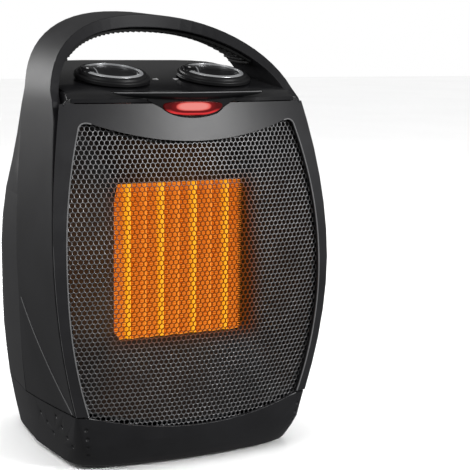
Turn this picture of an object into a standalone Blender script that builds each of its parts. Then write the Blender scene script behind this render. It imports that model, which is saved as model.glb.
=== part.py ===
"""Ceramic space heater: a free-standing electric fan heater with a carrying handle.

Metres, +Z up, front towards -Y. Every shell is built in the body's own frame, where y = 0 is the joint
between the front half and the rear half, and the whole heater hangs on an empty that centres its box.
"""

from math import cos, pi, radians, sin, tan

import bmesh
import bpy
from mathutils import Matrix, Vector

# Overall sizes
HEIGHT = 0.2624  # floor to the top of the handle
HALF_WIDTH = 0.0876  # middle to the widest point of the side
SHELL_DEPTH = 0.080  # split plane to the back of the rear shell
FRONT_DEPTH = 0.068  # split plane to the front corner at mid height

# Levels
HANDLE_RISE = 0.0524  # shoulder to the top of the handle
SEAM_Z = 0.034  # top of the base
WIDEST_Z = 0.124
UNDERSIDE_Z = 0.0014
FLANK_Z = 0.095  # where the ridge on the side leaves the band's rear edge
SHOULDER_Z = HEIGHT - HANDLE_RISE

# Curvature of the shells
SHOULDER_INSET = 0.0079
BEZEL_INSET = 0.0101
FOOT_INSET = 0.0133
FLANK_INSET = 0.0073
FRONT_LEAN = 0.0182
CHIN_TUCK = 0.0026
FRONT_BOW = 0.0095
CHIN_UNDERCUT = 0.0115
BACK_LEAN = 0.044
BACK_TAPER = 0.12
SHOULDER_TAPER = 0.20

# Walls and clearances
WALL = 0.0022
BAND_WALL = 0.0024
GAP = 0.0003
RUNNING_GAP = 0.0004
BAND_PROUD = 0.0006
THROUGH = 0.010  # what a cutter stands out beyond a wall it goes through

# Grille and its opening
FRAME_AT_TOP = 0.0201  # width of the bezel's side at the opening's top corner
FRAME_AT_MIDDLE = 0.0068
OPENING_HALF_TOP = HALF_WIDTH - FRAME_AT_TOP
OPENING_HALF_MID = HALF_WIDTH - FRAME_AT_MIDDLE
OPENING_CORNER_DROP = 0.0092  # shoulder down to the opening's top corner
SHIELD_DIP = 0.0123
CHIN_DIP = 0.0095
OPENING_CORNER_R = 0.006
LIP_DEPTH = 0.0030
GRILLE_WALL = 0.0008
GRILLE_MARGIN = 0.0018
DUCT_WALL = 0.0014

# Handle
ARCH_PROUD = 0.0008
ARCH_HALF = HALF_WIDTH - SHOULDER_INSET + ARCH_PROUD
ARCH_SPRING_DROP = 0.010  # shoulder down to where the arch's curve starts
ARCH_POWER = 2.2
ARCH_DEPTH = 0.0425
ARCH_FRONT_Y = -0.038
ARCH_LEAN = 0.68
ARCH_LEAN_MORE = 8.5
CROWN_LIFT = 0.0024  # the arch's rear edge stands this much higher than its front edge
LEG_WALL = 0.0055
CROWN_WALL = 0.0080
REAR_THINNING = 0.70  # share of the wall that the arch loses towards its rear edge
ARCH_FOOT_RISE = 0.006  # shoulder up to where the arch starts to lean back and to thicken
THIN_FROM = 0.022  # heights above the shoulder between which the rear edge thins
THIN_TO = 0.032
LIFT_FROM = 0.012  # height above the shoulder where the rear edge starts to stand higher
GRIP_WALL = 0.0016
GRIP_SIDE = 0.004
GRIP_START = 36.0  # degrees round the arch from its springing to the grip's end

# Control panel
PANEL_TILT = radians(12.0)
PANEL_FRONT_Z = 0.0068  # panel's front crease above the shoulder
PANEL_FRONT_Y = -0.044
PANEL_BACK_Y = 0.028
PANEL_CROWN = 0.012  # drop of the panel's top at the full width of the arch
PANEL_CROWN_POWER = 6
PANEL_CROWN_FRONT = 0.2  # share of the drop that its front edge has
PANEL_WALL = 0.0024
VISOR_REACH = 0.0022
VISOR_HALF = 0.046

# Indicator lens
LENS_HALF = 0.0185
LENS_UP = 0.0026  # the lens's widest level up to its flat top
LENS_DOWN = 0.0054
LENS_Z = -0.0020  # its widest level from the shoulder
HOUSING_HALF_TOP = 0.028
HOUSING_HALF_FOOT = 0.0198
HOUSING_FOOT_Z = -0.0026  # corner where the housing's slope meets the rim round the lens
HOUSING_END_Z = 0.0016
HOUSING_RIM = 0.0010

# Knobs
KNOB_X = 0.4118 * ARCH_HALF
KNOB_Y = -0.0194
KNOB_R = 0.0225
KNOB_HEIGHT = 0.0052
KNOB_LIFT = 0.0008
RING_R = 0.0170
RING_WIDTH = 0.0009
SHAFT_R = 0.0030
SHAFT_LENGTH = 0.016

# Heating element
ELEMENT_HALF = 0.0426
ELEMENT_HEIGHT = 0.0914
ELEMENT_DROP = 0.0003  # its middle below the middle of the opening
ELEMENT_Z = (SEAM_Z + SHOULDER_Z - OPENING_CORNER_DROP) / 2 - ELEMENT_DROP
ELEMENT_FRONT_Y = -0.042
ELEMENT_DEPTH = 0.014
ELEMENT_RIM = 0.004
PTC_COUNT = 4
PTC_WIDTH = 0.0023
DIVIDER_WIDTH = 0.0008

# Fan and motor
FAN_Z = ELEMENT_Z
FAN_R = 0.043
FAN_Y = -0.010
FAN_DEPTH = 0.016
FAN_TIP_GAP = 0.0025
HUB_R = 0.013
BLADES = 7
BLADE_PITCH = radians(38)
BLADE_WALL = 0.0014
SHROUD_WALL = 0.002
SHROUD_DEPTH = 0.022
FAN_SHAFT_R = 0.0020
STATOR_Y = 0.022
STATOR_DEPTH = 0.014
STATOR_HALF = 0.027
STATOR_HEIGHT = 0.046
ROTOR_R = 0.0105
POLE_GAP = 0.0007
BEARING_R = 0.0055
BEARING_LENGTH = 0.006

# Feet, fasteners, inlet
FOOT_R = 0.007
FOOT_X = 0.045
FOOT_FRONT_Y = -0.040
FOOT_BACK_Y = 0.052
FOOT_HEIGHT = 0.0034
SCREW_R = 0.0036
SCREW_SHANK_R = 0.0016
SCREW_LENGTH = 0.012
SCREW_X = 0.5936 * HALF_WIDTH
GLAND_X = -0.034
GLAND_Z = 0.016
GLAND_R = 0.0062
GLAND_BORE_R = 0.0034
GLAND_LENGTH = 0.016

# Tip-over switch
PLUNGER_X = 0.020
PLUNGER_Y = 0.030
PLUNGER_R = 0.0040
STEM_R = 0.0015

# Intake slots in the rear shell
INTAKE_R = 0.042
SLOT_HEIGHT = 0.0032
SLOT_PITCH = 0.0085

SIDE_ROWS = 10
GRID = 8
PLAN_STEPS = 10
HOUSING_STEPS = 28

for leftover in list(bpy.data.objects):
    bpy.data.objects.remove(leftover)


def material(name, colour, roughness, metallic=0.0):
    """A Principled material in one colour."""
    made = bpy.data.materials.new(name)
    made.use_nodes = True
    shader = made.node_tree.nodes["Principled BSDF"]
    shader.inputs["Base Color"].default_value = (*colour, 1.0)
    shader.inputs["Roughness"].default_value = roughness
    shader.inputs["Metallic"].default_value = metallic
    return made


SHELL_BLACK = material("shell_black", (0.020, 0.020, 0.023), 0.50)
SATIN_BLACK = material("satin_black", (0.028, 0.028, 0.031), 0.38)
GLOSS_BLACK = material("gloss_black", (0.010, 0.010, 0.012), 0.15)
GRILLE_BLACK = material("grille_black", (0.015, 0.015, 0.016), 0.42, 0.5)
RUBBER_BLACK = material("rubber_black", (0.020, 0.020, 0.020), 0.85)
CHROME = material("chrome", (0.80, 0.81, 0.83), 0.12, 1.0)
STEEL = material("steel", (0.50, 0.50, 0.51), 0.35, 1.0)
LAMINATION = material("lamination", (0.22, 0.22, 0.23), 0.50, 1.0)
COPPER = material("copper", (0.72, 0.32, 0.16), 0.35, 1.0)
BRONZE = material("bronze", (0.55, 0.36, 0.17), 0.45, 1.0)
FIN_ALUMINIUM = material("fin_aluminium", (0.85, 0.28, 0.10), 0.45, 0.6)
HOT_CERAMIC = material("hot_ceramic", (1.0, 0.62, 0.10), 0.60)
FRAME_NYLON = material("frame_nylon", (0.05, 0.05, 0.05), 0.60)
LENS_RED = material("lens_red", (0.75, 0.08, 0.06), 0.12)
LAMP_GLASS = material("lamp_glass", (0.90, 0.40, 0.25), 0.10)
WHITE_NYLON = material("white_nylon", (0.75, 0.74, 0.70), 0.50)

heater = bpy.data.objects.new("heater", None)
bpy.context.collection.objects.link(heater)


# Curves that the shells share


def share(value, start, end):
    """How far value is from start to end, kept between 0 and 1."""
    return min(max((value - start) / (end - start), 0.0), 1.0)


def foot_curve(z):
    return FOOT_INSET * share(WIDEST_Z - z, 0.0, WIDEST_Z - SEAM_Z) ** 1.9


def band_half(z):
    """Outer half width of the side band, from the base to the shoulder."""
    if z < WIDEST_Z:
        return HALF_WIDTH - foot_curve(z)
    return HALF_WIDTH - SHOULDER_INSET * share(z, WIDEST_Z, SHOULDER_Z) ** 1.7


def bezel_half(z):
    """Half width of the bezel's front corner."""
    if z < WIDEST_Z:
        return HALF_WIDTH - foot_curve(z)
    return HALF_WIDTH - BEZEL_INSET * share(z, WIDEST_Z, SHOULDER_Z) ** 1.9


def flank_half(z):
    """Half width where the side band meets the rear shell."""
    if z > FLANK_Z:
        return band_half(z)
    return band_half(FLANK_Z) - FLANK_INSET * ((FLANK_Z - z) / (FLANK_Z - SEAM_Z)) ** 1.5


def corner_y(z):
    """The front corner, from the base's underside to the shoulder."""
    lean = FRONT_LEAN * share(z, FLANK_Z, SHOULDER_Z) ** 1.8
    tuck = CHIN_TUCK * share(FLANK_Z - z, 0.0, FLANK_Z - SEAM_Z) ** 2
    return -FRONT_DEPTH + lean + tuck


def front_y(x, z):
    """The bowed front face."""
    return corner_y(z) - FRONT_BOW * (1.0 - (x / bezel_half(z)) ** 2)


def seam_y(z):
    """The rear edge of the side band."""
    low = 0.010 * share(FLANK_Z - z, 0.0, FLANK_Z - SEAM_Z)
    high = 0.009 * share(z, WIDEST_Z, SHOULDER_Z) ** 2
    return low + high - 0.004


def back_y(z):
    """The back of the rear shell, on the centre line."""
    return SHELL_DEPTH - BACK_LEAN * share(z, FLANK_Z - SEAM_Z, SHOULDER_Z) ** 1.5


def back_plan(half, start, back, taper, steps):
    """Half of a plan curve, from the side at y = start round to the middle of the back."""
    points = []
    for i in range(steps + 1):
        turn = pi / 2 * i / steps
        along = sin(turn) ** (1 / 3)
        across = max(cos(turn), 0.0) ** (1 / 3)
        y = start + (back - start) * along
        points.append(((half - taper * (y - start)) * across, y))
    return points


def opening_half(z):
    middle = (SEAM_Z + opening_top_z()) / 2
    reach = opening_top_z() - middle
    bow = OPENING_HALF_MID - OPENING_HALF_TOP
    return OPENING_HALF_MID - bow * min(abs(z - middle) / reach, 1.0) ** 2.1


def opening_top_z():
    return SHOULDER_Z - OPENING_CORNER_DROP


def shield_z(x):
    """Lower edge of the shield over the grille."""
    return opening_top_z() - SHIELD_DIP * (1.0 - (x / OPENING_HALF_TOP) ** 2)


def chin_z(x):
    """Upper edge of the chin under the grille."""
    return SEAM_Z - CHIN_DIP * (1.0 - min(abs(x) / OPENING_HALF_TOP, 1.0) ** 2)


def panel_z(x, y):
    """The sloping top of the control panel."""
    rise = tan(PANEL_TILT) * (y - PANEL_FRONT_Y)
    depth = PANEL_CROWN_FRONT + (1.0 - PANEL_CROWN_FRONT) * share(y, PANEL_FRONT_Y, PANEL_BACK_Y)
    crown = PANEL_CROWN * (abs(x) / ARCH_HALF) ** PANEL_CROWN_POWER * depth
    return SHOULDER_Z + PANEL_FRONT_Z + rise - crown


# Builders


def finish(name, mesh_maker, finish_material, place=None, smooth=40.0):
    """Make the object, hang it on the heater and shade it."""
    mesh = bpy.data.meshes.new(name)
    bmesh.ops.recalc_face_normals(mesh_maker, faces=mesh_maker.faces)
    mesh_maker.to_mesh(mesh)
    mesh_maker.free()
    made = bpy.data.objects.new(name, mesh)
    bpy.context.collection.objects.link(made)
    mesh.materials.append(finish_material)
    mesh.shade_smooth()
    mesh.set_sharp_from_angle(angle=radians(smooth))
    made.parent = heater
    if place is not None:
        made.matrix_basis = place
    return made


def skin(bm, rows, closed_rows=False, closed_columns=False):
    """Quads between rows of points. It gives the rows of vertices."""
    verts = [[bm.verts.new(point) for point in row] for row in rows]
    pairs = list(zip(verts, verts[1:]))
    if closed_rows:
        pairs.append((verts[-1], verts[0]))
    for low, high in pairs:
        span = len(low) if closed_columns else len(low) - 1
        for i in range(span):
            j = (i + 1) % len(low)
            bm.faces.new((low[i], low[j], high[j], high[i]))
    return verts


def thicken(made, wall):
    solid = made.modifiers.new("wall", "SOLIDIFY")
    solid.thickness = wall
    solid.offset = -1.0
    solid.use_even_offset = True
    return made


def sheet(name, rows, finish_material, wall, closed_columns=False, towards=None, cap=False):
    """A shell of even wall behind the surface given by rows of points."""
    bm = bmesh.new()
    verts = skin(bm, rows, closed_columns=closed_columns)
    if cap:
        bm.faces.new(verts[0])
    made = finish(name, bm, finish_material)
    mesh = made.data
    if towards is not None:
        facing = sum((face.normal.dot(Vector(towards) - face.center) * face.area) for face in mesh.polygons)
        if facing > 0:
            mesh.flip_normals()
    return thicken(made, wall)


def tube_loft(name, sections, finish_material, place=None):
    """A solid through closed sections of equal length, capped at both ends."""
    bm = bmesh.new()
    verts = skin(bm, sections, closed_columns=True)
    bm.faces.new(verts[0])
    bm.faces.new(reversed(verts[-1]))
    return finish(name, bm, finish_material, place)


def block(name, low, high, finish_material, edge=0.0, place=None):
    """A box between two corners, with its edges rounded."""
    bm = bmesh.new()
    bmesh.ops.create_cube(bm, size=1.0)
    size = Vector(high) - Vector(low)
    bmesh.ops.scale(bm, vec=size, verts=bm.verts)
    bmesh.ops.translate(bm, vec=(Vector(high) + Vector(low)) / 2, verts=bm.verts)
    if edge:
        bmesh.ops.bevel(bm, geom=bm.edges, offset=edge, segments=1, profile=0.5, affect="EDGES")
    return finish(name, bm, finish_material, place)


def turned(name, profile, finish_material, place=None, steps=32):
    """A body turned about its own Z axis from (radius, z) points."""
    bm = bmesh.new()
    loop = [bm.verts.new((radius, 0.0, z)) for radius, z in profile]
    edges = [bm.edges.new(pair) for pair in zip(loop, loop[1:])]
    if profile[0][0] > 0.0 and profile[-1][0] > 0.0:
        edges.append(bm.edges.new((loop[-1], loop[0])))
    bmesh.ops.spin(
        bm, geom=edges, cent=(0, 0, 0), axis=(0, 0, 1), angle=2 * pi, steps=steps, use_merge=True
    )
    bmesh.ops.remove_doubles(bm, verts=bm.verts, dist=0.00001)
    return finish(name, bm, finish_material, place)


def cutter(name, boxes=(), rods=()):
    """One hidden tool made of boxes (low, high) and rods (start, end, radius)."""
    bm = bmesh.new()
    for low, high in boxes:
        made = bmesh.ops.create_cube(bm, size=1.0)["verts"]
        bmesh.ops.scale(bm, vec=Vector(high) - Vector(low), verts=made)
        bmesh.ops.translate(bm, vec=(Vector(high) + Vector(low)) / 2, verts=made)
    for start, end, radius in rods:
        along = Vector(end) - Vector(start)
        turn = Vector((0, 0, 1)).rotation_difference(along).to_matrix().to_4x4()
        bmesh.ops.create_cone(
            bm, cap_ends=True, segments=20, radius1=radius, radius2=radius, depth=along.length,
            matrix=Matrix.Translation((Vector(end) + Vector(start)) / 2) @ turn,
        )
    tool = finish(name, bm, SHELL_BLACK)
    tool.hide_render = True
    tool.display_type = "WIRE"
    return tool


def cut(made, tool, operation="DIFFERENCE"):
    boolean = made.modifiers.new(tool.name, "BOOLEAN")
    boolean.operation = operation
    boolean.object = tool
    boolean.solver = "EXACT"
    return made


def facing(axis, at):
    """A place whose Z axis points along axis."""
    turn = Vector((0, 0, 1)).rotation_difference(Vector(axis)).to_matrix().to_4x4()
    return Matrix.Translation(at) @ turn


# Front bezel: satin frame round the grille, open at the bottom where the chin closes it


def between(start, end, part):
    return tuple(a + (b - a) * part for a, b in zip(start, end))


def bend(start, corner, end, part):
    """A point on the curve that leaves start for the corner and arrives at end."""
    return between(between(start, corner, part), between(corner, end, part), part)


def bezel_columns():
    """Pairs of (inner, outer) points in x and z, from the right foot to the middle of the shield."""
    side_top = opening_top_z() - OPENING_CORNER_R
    corner_x = OPENING_HALF_TOP - OPENING_CORNER_R
    outer_side = SHOULDER_Z - GAP - 0.012
    foot = SEAM_Z + 3 * GAP
    pairs = []
    for i in range(SIDE_ROWS + 1):
        part = i / SIDE_ROWS
        inner_z = foot + (side_top - foot) * part
        outer_z = foot + (outer_side - foot) * part
        pairs.append(((opening_half(inner_z), inner_z), (bezel_half(outer_z), outer_z)))
    top = SHOULDER_Z - GAP
    rounding_from = pairs[-1][0]
    rounding_to = (corner_x, shield_z(corner_x))
    rounding_by = (OPENING_HALF_TOP + 0.0008, opening_top_z())
    outers = ((bezel_half(top - 0.005), top - 0.005), (bezel_half(top), top), (corner_x + 0.008, top))
    for i, outer in enumerate(outers, 1):
        pairs.append((bend(rounding_from, rounding_by, rounding_to, i / 4), outer))
    for i in range(GRID + 1):
        x = corner_x * (1 - i / GRID)
        pairs.append(((x, shield_z(x)), (x * 1.02, top)))
    return pairs


def on_front(point, back=0.0):
    x, z = point
    return (x, front_y(x, z) + back, z)


def bezel():
    columns = []
    for inner, outer in bezel_columns():
        across = [on_front(between(inner, outer, part)) for part in (0.0, 0.35, 0.7, 1.0)]
        columns.append([on_front(inner, LIP_DEPTH)] + across)
    left = [[(-x, y, z) for x, y, z in column] for column in reversed(columns[:-1])]
    return sheet("front_bezel", columns + left, SATIN_BLACK, WALL, towards=(0, 0.05, WIDEST_Z))


def grille_surface(back, margin, across=2 * GRID, rows=GRID):
    """Rows of points behind the opening, from the chin up to the shield."""
    surface = []
    for j in range(rows + 1):
        up = j / rows
        level = SEAM_Z - margin + (opening_top_z() - SEAM_Z + 2 * margin) * up
        row = []
        for i in range(across + 1):
            x = (opening_half(level) + margin) * (2 * i / across - 1)
            inside = min(max(x, -OPENING_HALF_TOP), OPENING_HALF_TOP)
            z = (chin_z(inside) - margin) * (1 - up) + (shield_z(inside) + margin) * up
            row.append((x, front_y(x, z) + back, z))
        surface.append(row)
    return surface


bezel()
sheet(
    "front_grille", grille_surface(LIP_DEPTH + GAP, GRILLE_MARGIN), GRILLE_BLACK, GRILLE_WALL,
    towards=(0, 0.05, WIDEST_Z),
)


# Carrying handle: one moulding of two side bands and the arch that joins them over the top


def arch_half(z):
    """Outer half width of the arch at a height."""
    up = share(z, SHOULDER_Z - ARCH_SPRING_DROP, HEIGHT - CROWN_LIFT)
    return ARCH_HALF * (1 - up**ARCH_POWER) ** (1 / ARCH_POWER)


def arch_front(z):
    """Front edge of the leaning arch."""
    rise = max(z - SHOULDER_Z - ARCH_FOOT_RISE, 0.0)
    return ARCH_FRONT_Y + ARCH_LEAN * rise + ARCH_LEAN_MORE * rise**2


def arch_point(turn):
    """Outer point and outward direction on the arch, at an angle from the spring line to the crown."""
    reach = HANDLE_RISE - CROWN_LIFT + ARCH_SPRING_DROP
    across = max(cos(turn), 0.0) ** (2 / ARCH_POWER)
    up = sin(turn) ** (2 / ARCH_POWER)
    outward = Vector((across ** (ARCH_POWER - 1) / ARCH_HALF, up ** (ARCH_POWER - 1) / reach)).normalized()
    return ARCH_HALF * across, SHOULDER_Z - ARCH_SPRING_DROP + reach * up, outward


def arch_wall(z, part=0.0):
    """Wall of the arch at a height, at a share of its depth from front to rear."""
    wall = LEG_WALL + (CROWN_WALL - LEG_WALL) * share(z, SHOULDER_Z + ARCH_FOOT_RISE, HEIGHT) ** 2
    clear_of_panel = share(z, SHOULDER_Z + THIN_FROM, SHOULDER_Z + THIN_TO)
    return wall * (1 - REAR_THINNING * clear_of_panel * share(part, 0.3, 1.0))


def arch_lift(z, part):
    """How far the arch's outer face rises towards the rear."""
    return CROWN_LIFT * part * share(z, SHOULDER_Z + LIFT_FROM, HEIGHT - CROWN_LIFT)


def ridge_y(z, front, rear):
    """Where the flat of the band ends and the flank starts."""
    rising = share(z, SEAM_Z, FLANK_Z)
    return front + 0.002 + (rear - front - 0.006) * rising


def side_section(z):
    """Outer points of the band at a height, from its front edge to its rear edge."""
    front = corner_y(z) + WALL + GAP
    rear = seam_y(z)
    ridge = ridge_y(z, front, rear)
    points = [(band_half(z), front), (band_half(z), ridge)]
    for part in (0.35, 0.7, 1.0):
        spread = band_half(z) + (flank_half(z) - band_half(z)) * sin(pi / 2 * part)
        points.append((spread, ridge + (rear - ridge) * part))
    return points


def band_section(outer, inner):
    return outer + list(reversed(inner))


def handle_sections(grow=0.0):
    """Closed sections of the handle, from the right foot to the crown, or of the room that it needs."""
    sections = []
    levels = [SEAM_Z + GAP + (SHOULDER_Z - 0.010 - SEAM_Z) * i / SIDE_ROWS for i in range(SIDE_ROWS + 1)]
    for z in levels:
        wall = BAND_WALL + (LEG_WALL - BAND_WALL) * share(z, SHOULDER_Z - 0.020, SHOULDER_Z) ** 2
        outline = side_section(z)
        outline[0] = (outline[0][0], outline[0][1] - grow)
        outline[-1] = (outline[-1][0], outline[-1][1] + grow)
        outer = [(x + grow, y, z) for x, y in outline]
        inner = [(x - wall - grow, y, z) for x, y in outline]
        sections.append(band_section(outer, inner))
    start = radians(9.0)
    steps = 16
    for i in range(steps + 1):
        x, z, outward = arch_point(start + (pi / 2 - start) * i / steps)
        back = share(z, SHOULDER_Z + ARCH_FOOT_RISE, SHOULDER_Z - 0.002)
        front = arch_front(z) + (corner_y(SHOULDER_Z) + WALL + GAP - ARCH_FRONT_Y) * back
        rear = arch_front(z) + ARCH_DEPTH
        outer, inner = [], []
        for part in (0.0, 0.08, 0.4, 0.7, 1.0):
            y = front - grow + (rear - front + 2 * grow) * part
            over = arch_lift(z, part) + grow
            under = arch_wall(z, part) + grow
            outer.append((x + outward.x * over, y, z + outward.y * over))
            inner.append((x - outward.x * under, y, z - outward.y * under))
        sections.append(band_section(outer, inner))
    return sections


def other_side(sections):
    return [[(-x, y, z) for x, y, z in section] for section in reversed(sections[:-1])]


def grip_sections():
    """The soft strip under the arch, from its end on one side to the crown."""
    start = radians(GRIP_START)
    steps = 12
    sections = []
    for i in range(steps + 1):
        x, z, outward = arch_point(start + (pi / 2 - start) * i / steps)
        top, foot = [], []
        for y in (GRIP_SIDE, ARCH_DEPTH * 0.4, ARCH_DEPTH * 0.7, ARCH_DEPTH - 2 * GRIP_SIDE):
            near = arch_wall(z, y / ARCH_DEPTH) + 2 * GAP
            far = near + GRIP_WALL * (0.4 + 0.6 * share(i, 0, 2))
            top.append((x - outward.x * near, arch_front(z) + y, z - outward.y * near))
            foot.append((x - outward.x * far, arch_front(z) + y, z - outward.y * far))
        sections.append(band_section(top, foot))
    return sections


handle_half = handle_sections()
tube_loft("carry_handle", handle_half + other_side(handle_half), SHELL_BLACK)
grip_half = grip_sections()
tube_loft("handle_grip", grip_half + other_side(grip_half), RUBBER_BLACK)


# Control panel: sloping top cover between the handle's legs, with a curved visor over the lens


def leg_inside(level):
    """Half width between the legs' inner faces at a height."""
    low, high = 0.0, pi / 2
    for _ in range(30):
        turn = (low + high) / 2
        x, z, outward = arch_point(turn)
        if z - outward.y * arch_wall(z) < level:
            low = turn
        else:
            high = turn
    return x - outward.x * arch_wall(z)


def panel_side(y):
    """Half width of the panel where it runs between the handle's legs."""
    level = panel_z(ARCH_HALF * 0.85, max(y, ARCH_FRONT_Y)) + 0.001
    return leg_inside(level) - 3 * GAP


def panel_profile(part):
    """One column of the panel, front seam to back edge, at a share of the half width."""
    half = panel_side(PANEL_FRONT_Y)
    x = half * part
    front = front_y(x, SHOULDER_Z)
    crease = PANEL_FRONT_Y - FRONT_BOW * (1 - part**2)
    visor = VISOR_REACH * max(1 - (x / VISOR_HALF) ** 2, 0.0) ** 2
    column = [
        (x, front, SHOULDER_Z + GAP),
        (x, front + 0.0004 - visor, SHOULDER_Z + 0.0024),
        (x, crease - 0.0034 - visor * 0.6, panel_z(x, crease) - 0.0018),
        (x, crease, panel_z(x, crease)),
    ]
    back = PANEL_BACK_Y - GAP
    for step in (0.3, 0.55, 0.8, 1.0):
        y = crease + (back - crease) * step
        x = panel_side(y) * part
        column.append((x, y, panel_z(x, y)))
    return column


def lens_reach(x, grow=0.0):
    """Top and bottom of the lens at x: nearly flat above, round below."""
    level = SHOULDER_Z + LENS_Z
    rounding = max(1 - (x / (LENS_HALF + grow)) ** 2, 0.01)
    return level + (LENS_UP + grow) * rounding**0.25, level - (LENS_DOWN + grow) * rounding**0.55


def housing_z(x, grow):
    """Lower edge of the lens housing: a rim under the lens, sloping up beside it to its ends."""
    rising = share(abs(x), HOUSING_HALF_FOOT, HOUSING_HALF_TOP)
    slope = SHOULDER_Z + HOUSING_FOOT_Z + (HOUSING_END_Z - HOUSING_FOOT_Z) * rising
    rim = lens_reach(x, HOUSING_RIM)[1]
    return min(slope, rim) - grow if abs(x) < LENS_HALF + HOUSING_RIM else slope - grow


def housing_sections(front, back, grow):
    sections = []
    half = HOUSING_HALF_TOP + grow
    top = SHOULDER_Z + 0.0034 + grow
    for i in range(HOUSING_STEPS + 1):
        x = half * (2 * i / HOUSING_STEPS - 1)
        low = housing_z(x, grow)
        near = front_y(x, SHOULDER_Z) + front
        far = front_y(x, SHOULDER_Z) + back
        sections.append([(x, near, low), (x, near, top), (x, far, top), (x, far, low)])
    return sections


def lens_sections(front, back, grow):
    """The lens outline, which follows the bow of the front."""
    sections = []
    for i in range(HOUSING_STEPS + 1):
        x = -(LENS_HALF + grow) * cos(pi * i / HOUSING_STEPS)
        high, low = lens_reach(x, grow)
        near = front_y(x, SHOULDER_Z) + front
        far = front_y(x, SHOULDER_Z) + back
        sections.append([(x, near, low), (x, near, high), (x, far, high), (x, far, low)])
    return sections


def hidden_loft(name, sections):
    tool = tube_loft(name, sections, SHELL_BLACK)
    tool.hide_render = True
    tool.display_type = "WIRE"
    return tool


def knob_place(side):
    """The knob's own frame: its axis square to the panel, its foot on the panel."""
    axis = (0.0, -sin(PANEL_TILT), cos(PANEL_TILT))
    return facing(axis, (side * KNOB_X, KNOB_Y, panel_z(side * KNOB_X, KNOB_Y)))


def knob_hole(side):
    place = knob_place(side)
    return (place @ Vector((0, 0, -0.02)), place @ Vector((0, 0, 0.02)), SHAFT_R + 2 * RUNNING_GAP)


panel_columns = [panel_profile(i / GRID - 1) for i in range(2 * GRID + 1)]
panel = sheet("control_panel", panel_columns, GLOSS_BLACK, PANEL_WALL, towards=(0, 0, SEAM_Z))
cut(panel, cutter("knob_holes", rods=[knob_hole(-1), knob_hole(1)]))
housing_seat = hidden_loft("housing_seat", housing_sections(-0.01, 0.012, GAP))
cut(panel, housing_seat)
cut(bpy.data.objects["front_bezel"], housing_seat)
housing = tube_loft("lens_housing", housing_sections(-0.0006, 0.0050, 0.0), GLOSS_BLACK)
cut(housing, hidden_loft("lens_seat", lens_sections(-0.01, 0.02, GAP)))
tube_loft("indicator_lens", lens_sections(-0.0016, 0.0030, 0.0), LENS_RED)


# Rear shell: flanks, back and rounded shoulders in one moulding, slotted for the air intake


def arch_rear(z):
    return arch_front(z) + ARCH_DEPTH


def dome_y(z):
    """The back of the shell above the shoulder."""
    top = panel_z(0.0, PANEL_BACK_Y)
    left = max(1 - share(z, SHOULDER_Z, top) ** 2, 0.0) ** 0.5
    start = back_y(SHOULDER_Z)
    return PANEL_BACK_Y + 0.002 + (start - PANEL_BACK_Y - 0.002) * left


def shell_ring(z, inset=0.0, forward=0.0):
    """Closed outline of the rear shell at a height, or of its hollow, inset and carried forward."""
    taper = BACK_TAPER + SHOULDER_TAPER * share(z, SHOULDER_Z - 0.060, SHOULDER_Z)
    proud = BAND_PROUD * share(z, SEAM_Z, FLANK_Z)
    if z < SHOULDER_Z:
        half, start, back = flank_half(z) - proud - inset, seam_y(z) + GAP, back_y(z)
    else:
        half, start, back = arch_half(z) - proud, arch_rear(z) - GAP, dome_y(z)
        if inset:
            half = min(half - inset, leg_inside(z) - GAP)
    plan = back_plan(half, start, back - inset, taper, PLAN_STEPS)
    plan[0] = (half, start - forward)
    return [(x, y, z) for x, y in plan + [(-x, y) for x, y in reversed(plan[:-1])]]


def shell_levels():
    crest = panel_z(0.0, PANEL_BACK_Y)
    levels = [SEAM_Z + GAP + (SHOULDER_Z - SEAM_Z - 0.004) * i / SIDE_ROWS for i in range(SIDE_ROWS + 1)]
    return levels + [SHOULDER_Z + (crest - SHOULDER_Z) * part for part in (0.1, 0.35, 0.6, 0.8, 0.92, 1.0)]


HOLLOW_DROP = PANEL_CROWN / 2.6  # leaves a whole wall under the crest where it falls towards the sides


def shell_hollow():
    levels = shell_levels()
    rings = [shell_ring(z, WALL, 0.02) for z in levels[:-3]]
    top = shell_ring(levels[-1] - WALL - HOLLOW_DROP, WALL, 0.02)
    foot = [(x, y, SEAM_Z - 0.01) for x, y, _ in rings[0]]
    return [foot] + rings + [top]


def intake_slots():
    """Level slots in a round field on the back."""
    count = int(INTAKE_R / SLOT_PITCH)
    boxes = []
    for i in range(-count, count + 1):
        z = FAN_Z + i * SLOT_PITCH
        half = (INTAKE_R**2 - (i * SLOT_PITCH) ** 2) ** 0.5
        boxes.append(((-half, 0.045, z - SLOT_HEIGHT / 2), (half, SHELL_DEPTH + 0.01, z + SLOT_HEIGHT / 2)))
    return boxes


def panel_room():
    """Sections of the space that the panel needs, a gap wider than the panel itself."""
    sections = []
    for y in (-0.010, 0.004, 0.014, 0.021, PANEL_BACK_Y + GAP):
        half = panel_side(y) + GAP
        low, high = panel_z(half, y) - 0.006, panel_z(0, y) + 0.006
        sections.append([(-half, y, low), (half, y, low), (half, y, high), (-half, y, high)])
    return sections


def crown_room():
    """Sections of the space over the shell's crest, which falls towards the sides as the panel does."""
    sections = []
    for i in range(2 * GRID + 1):
        x = ARCH_HALF * 1.05 * (i / GRID - 1)
        low, high = panel_z(min(max(x, -ARCH_HALF), ARCH_HALF), PANEL_BACK_Y), HEIGHT
        sections.append([(x, 0.005, low), (x, 0.005, high), (x, SHELL_DEPTH, high), (x, SHELL_DEPTH, low)])
    return sections


SCREW_LEVELS = (SEAM_Z + 0.014, SHOULDER_Z - 0.034)
screw_spots = []
for screw_z in SCREW_LEVELS:
    slope = (back_y(screw_z + 0.001) - back_y(screw_z - 0.001)) / 0.002
    for side in (-1, 1):
        spot = Vector((side * SCREW_X, back_y(screw_z), screw_z))
        screw_spots.append((spot, Vector((0, 1, -slope)).normalized()))

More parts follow.
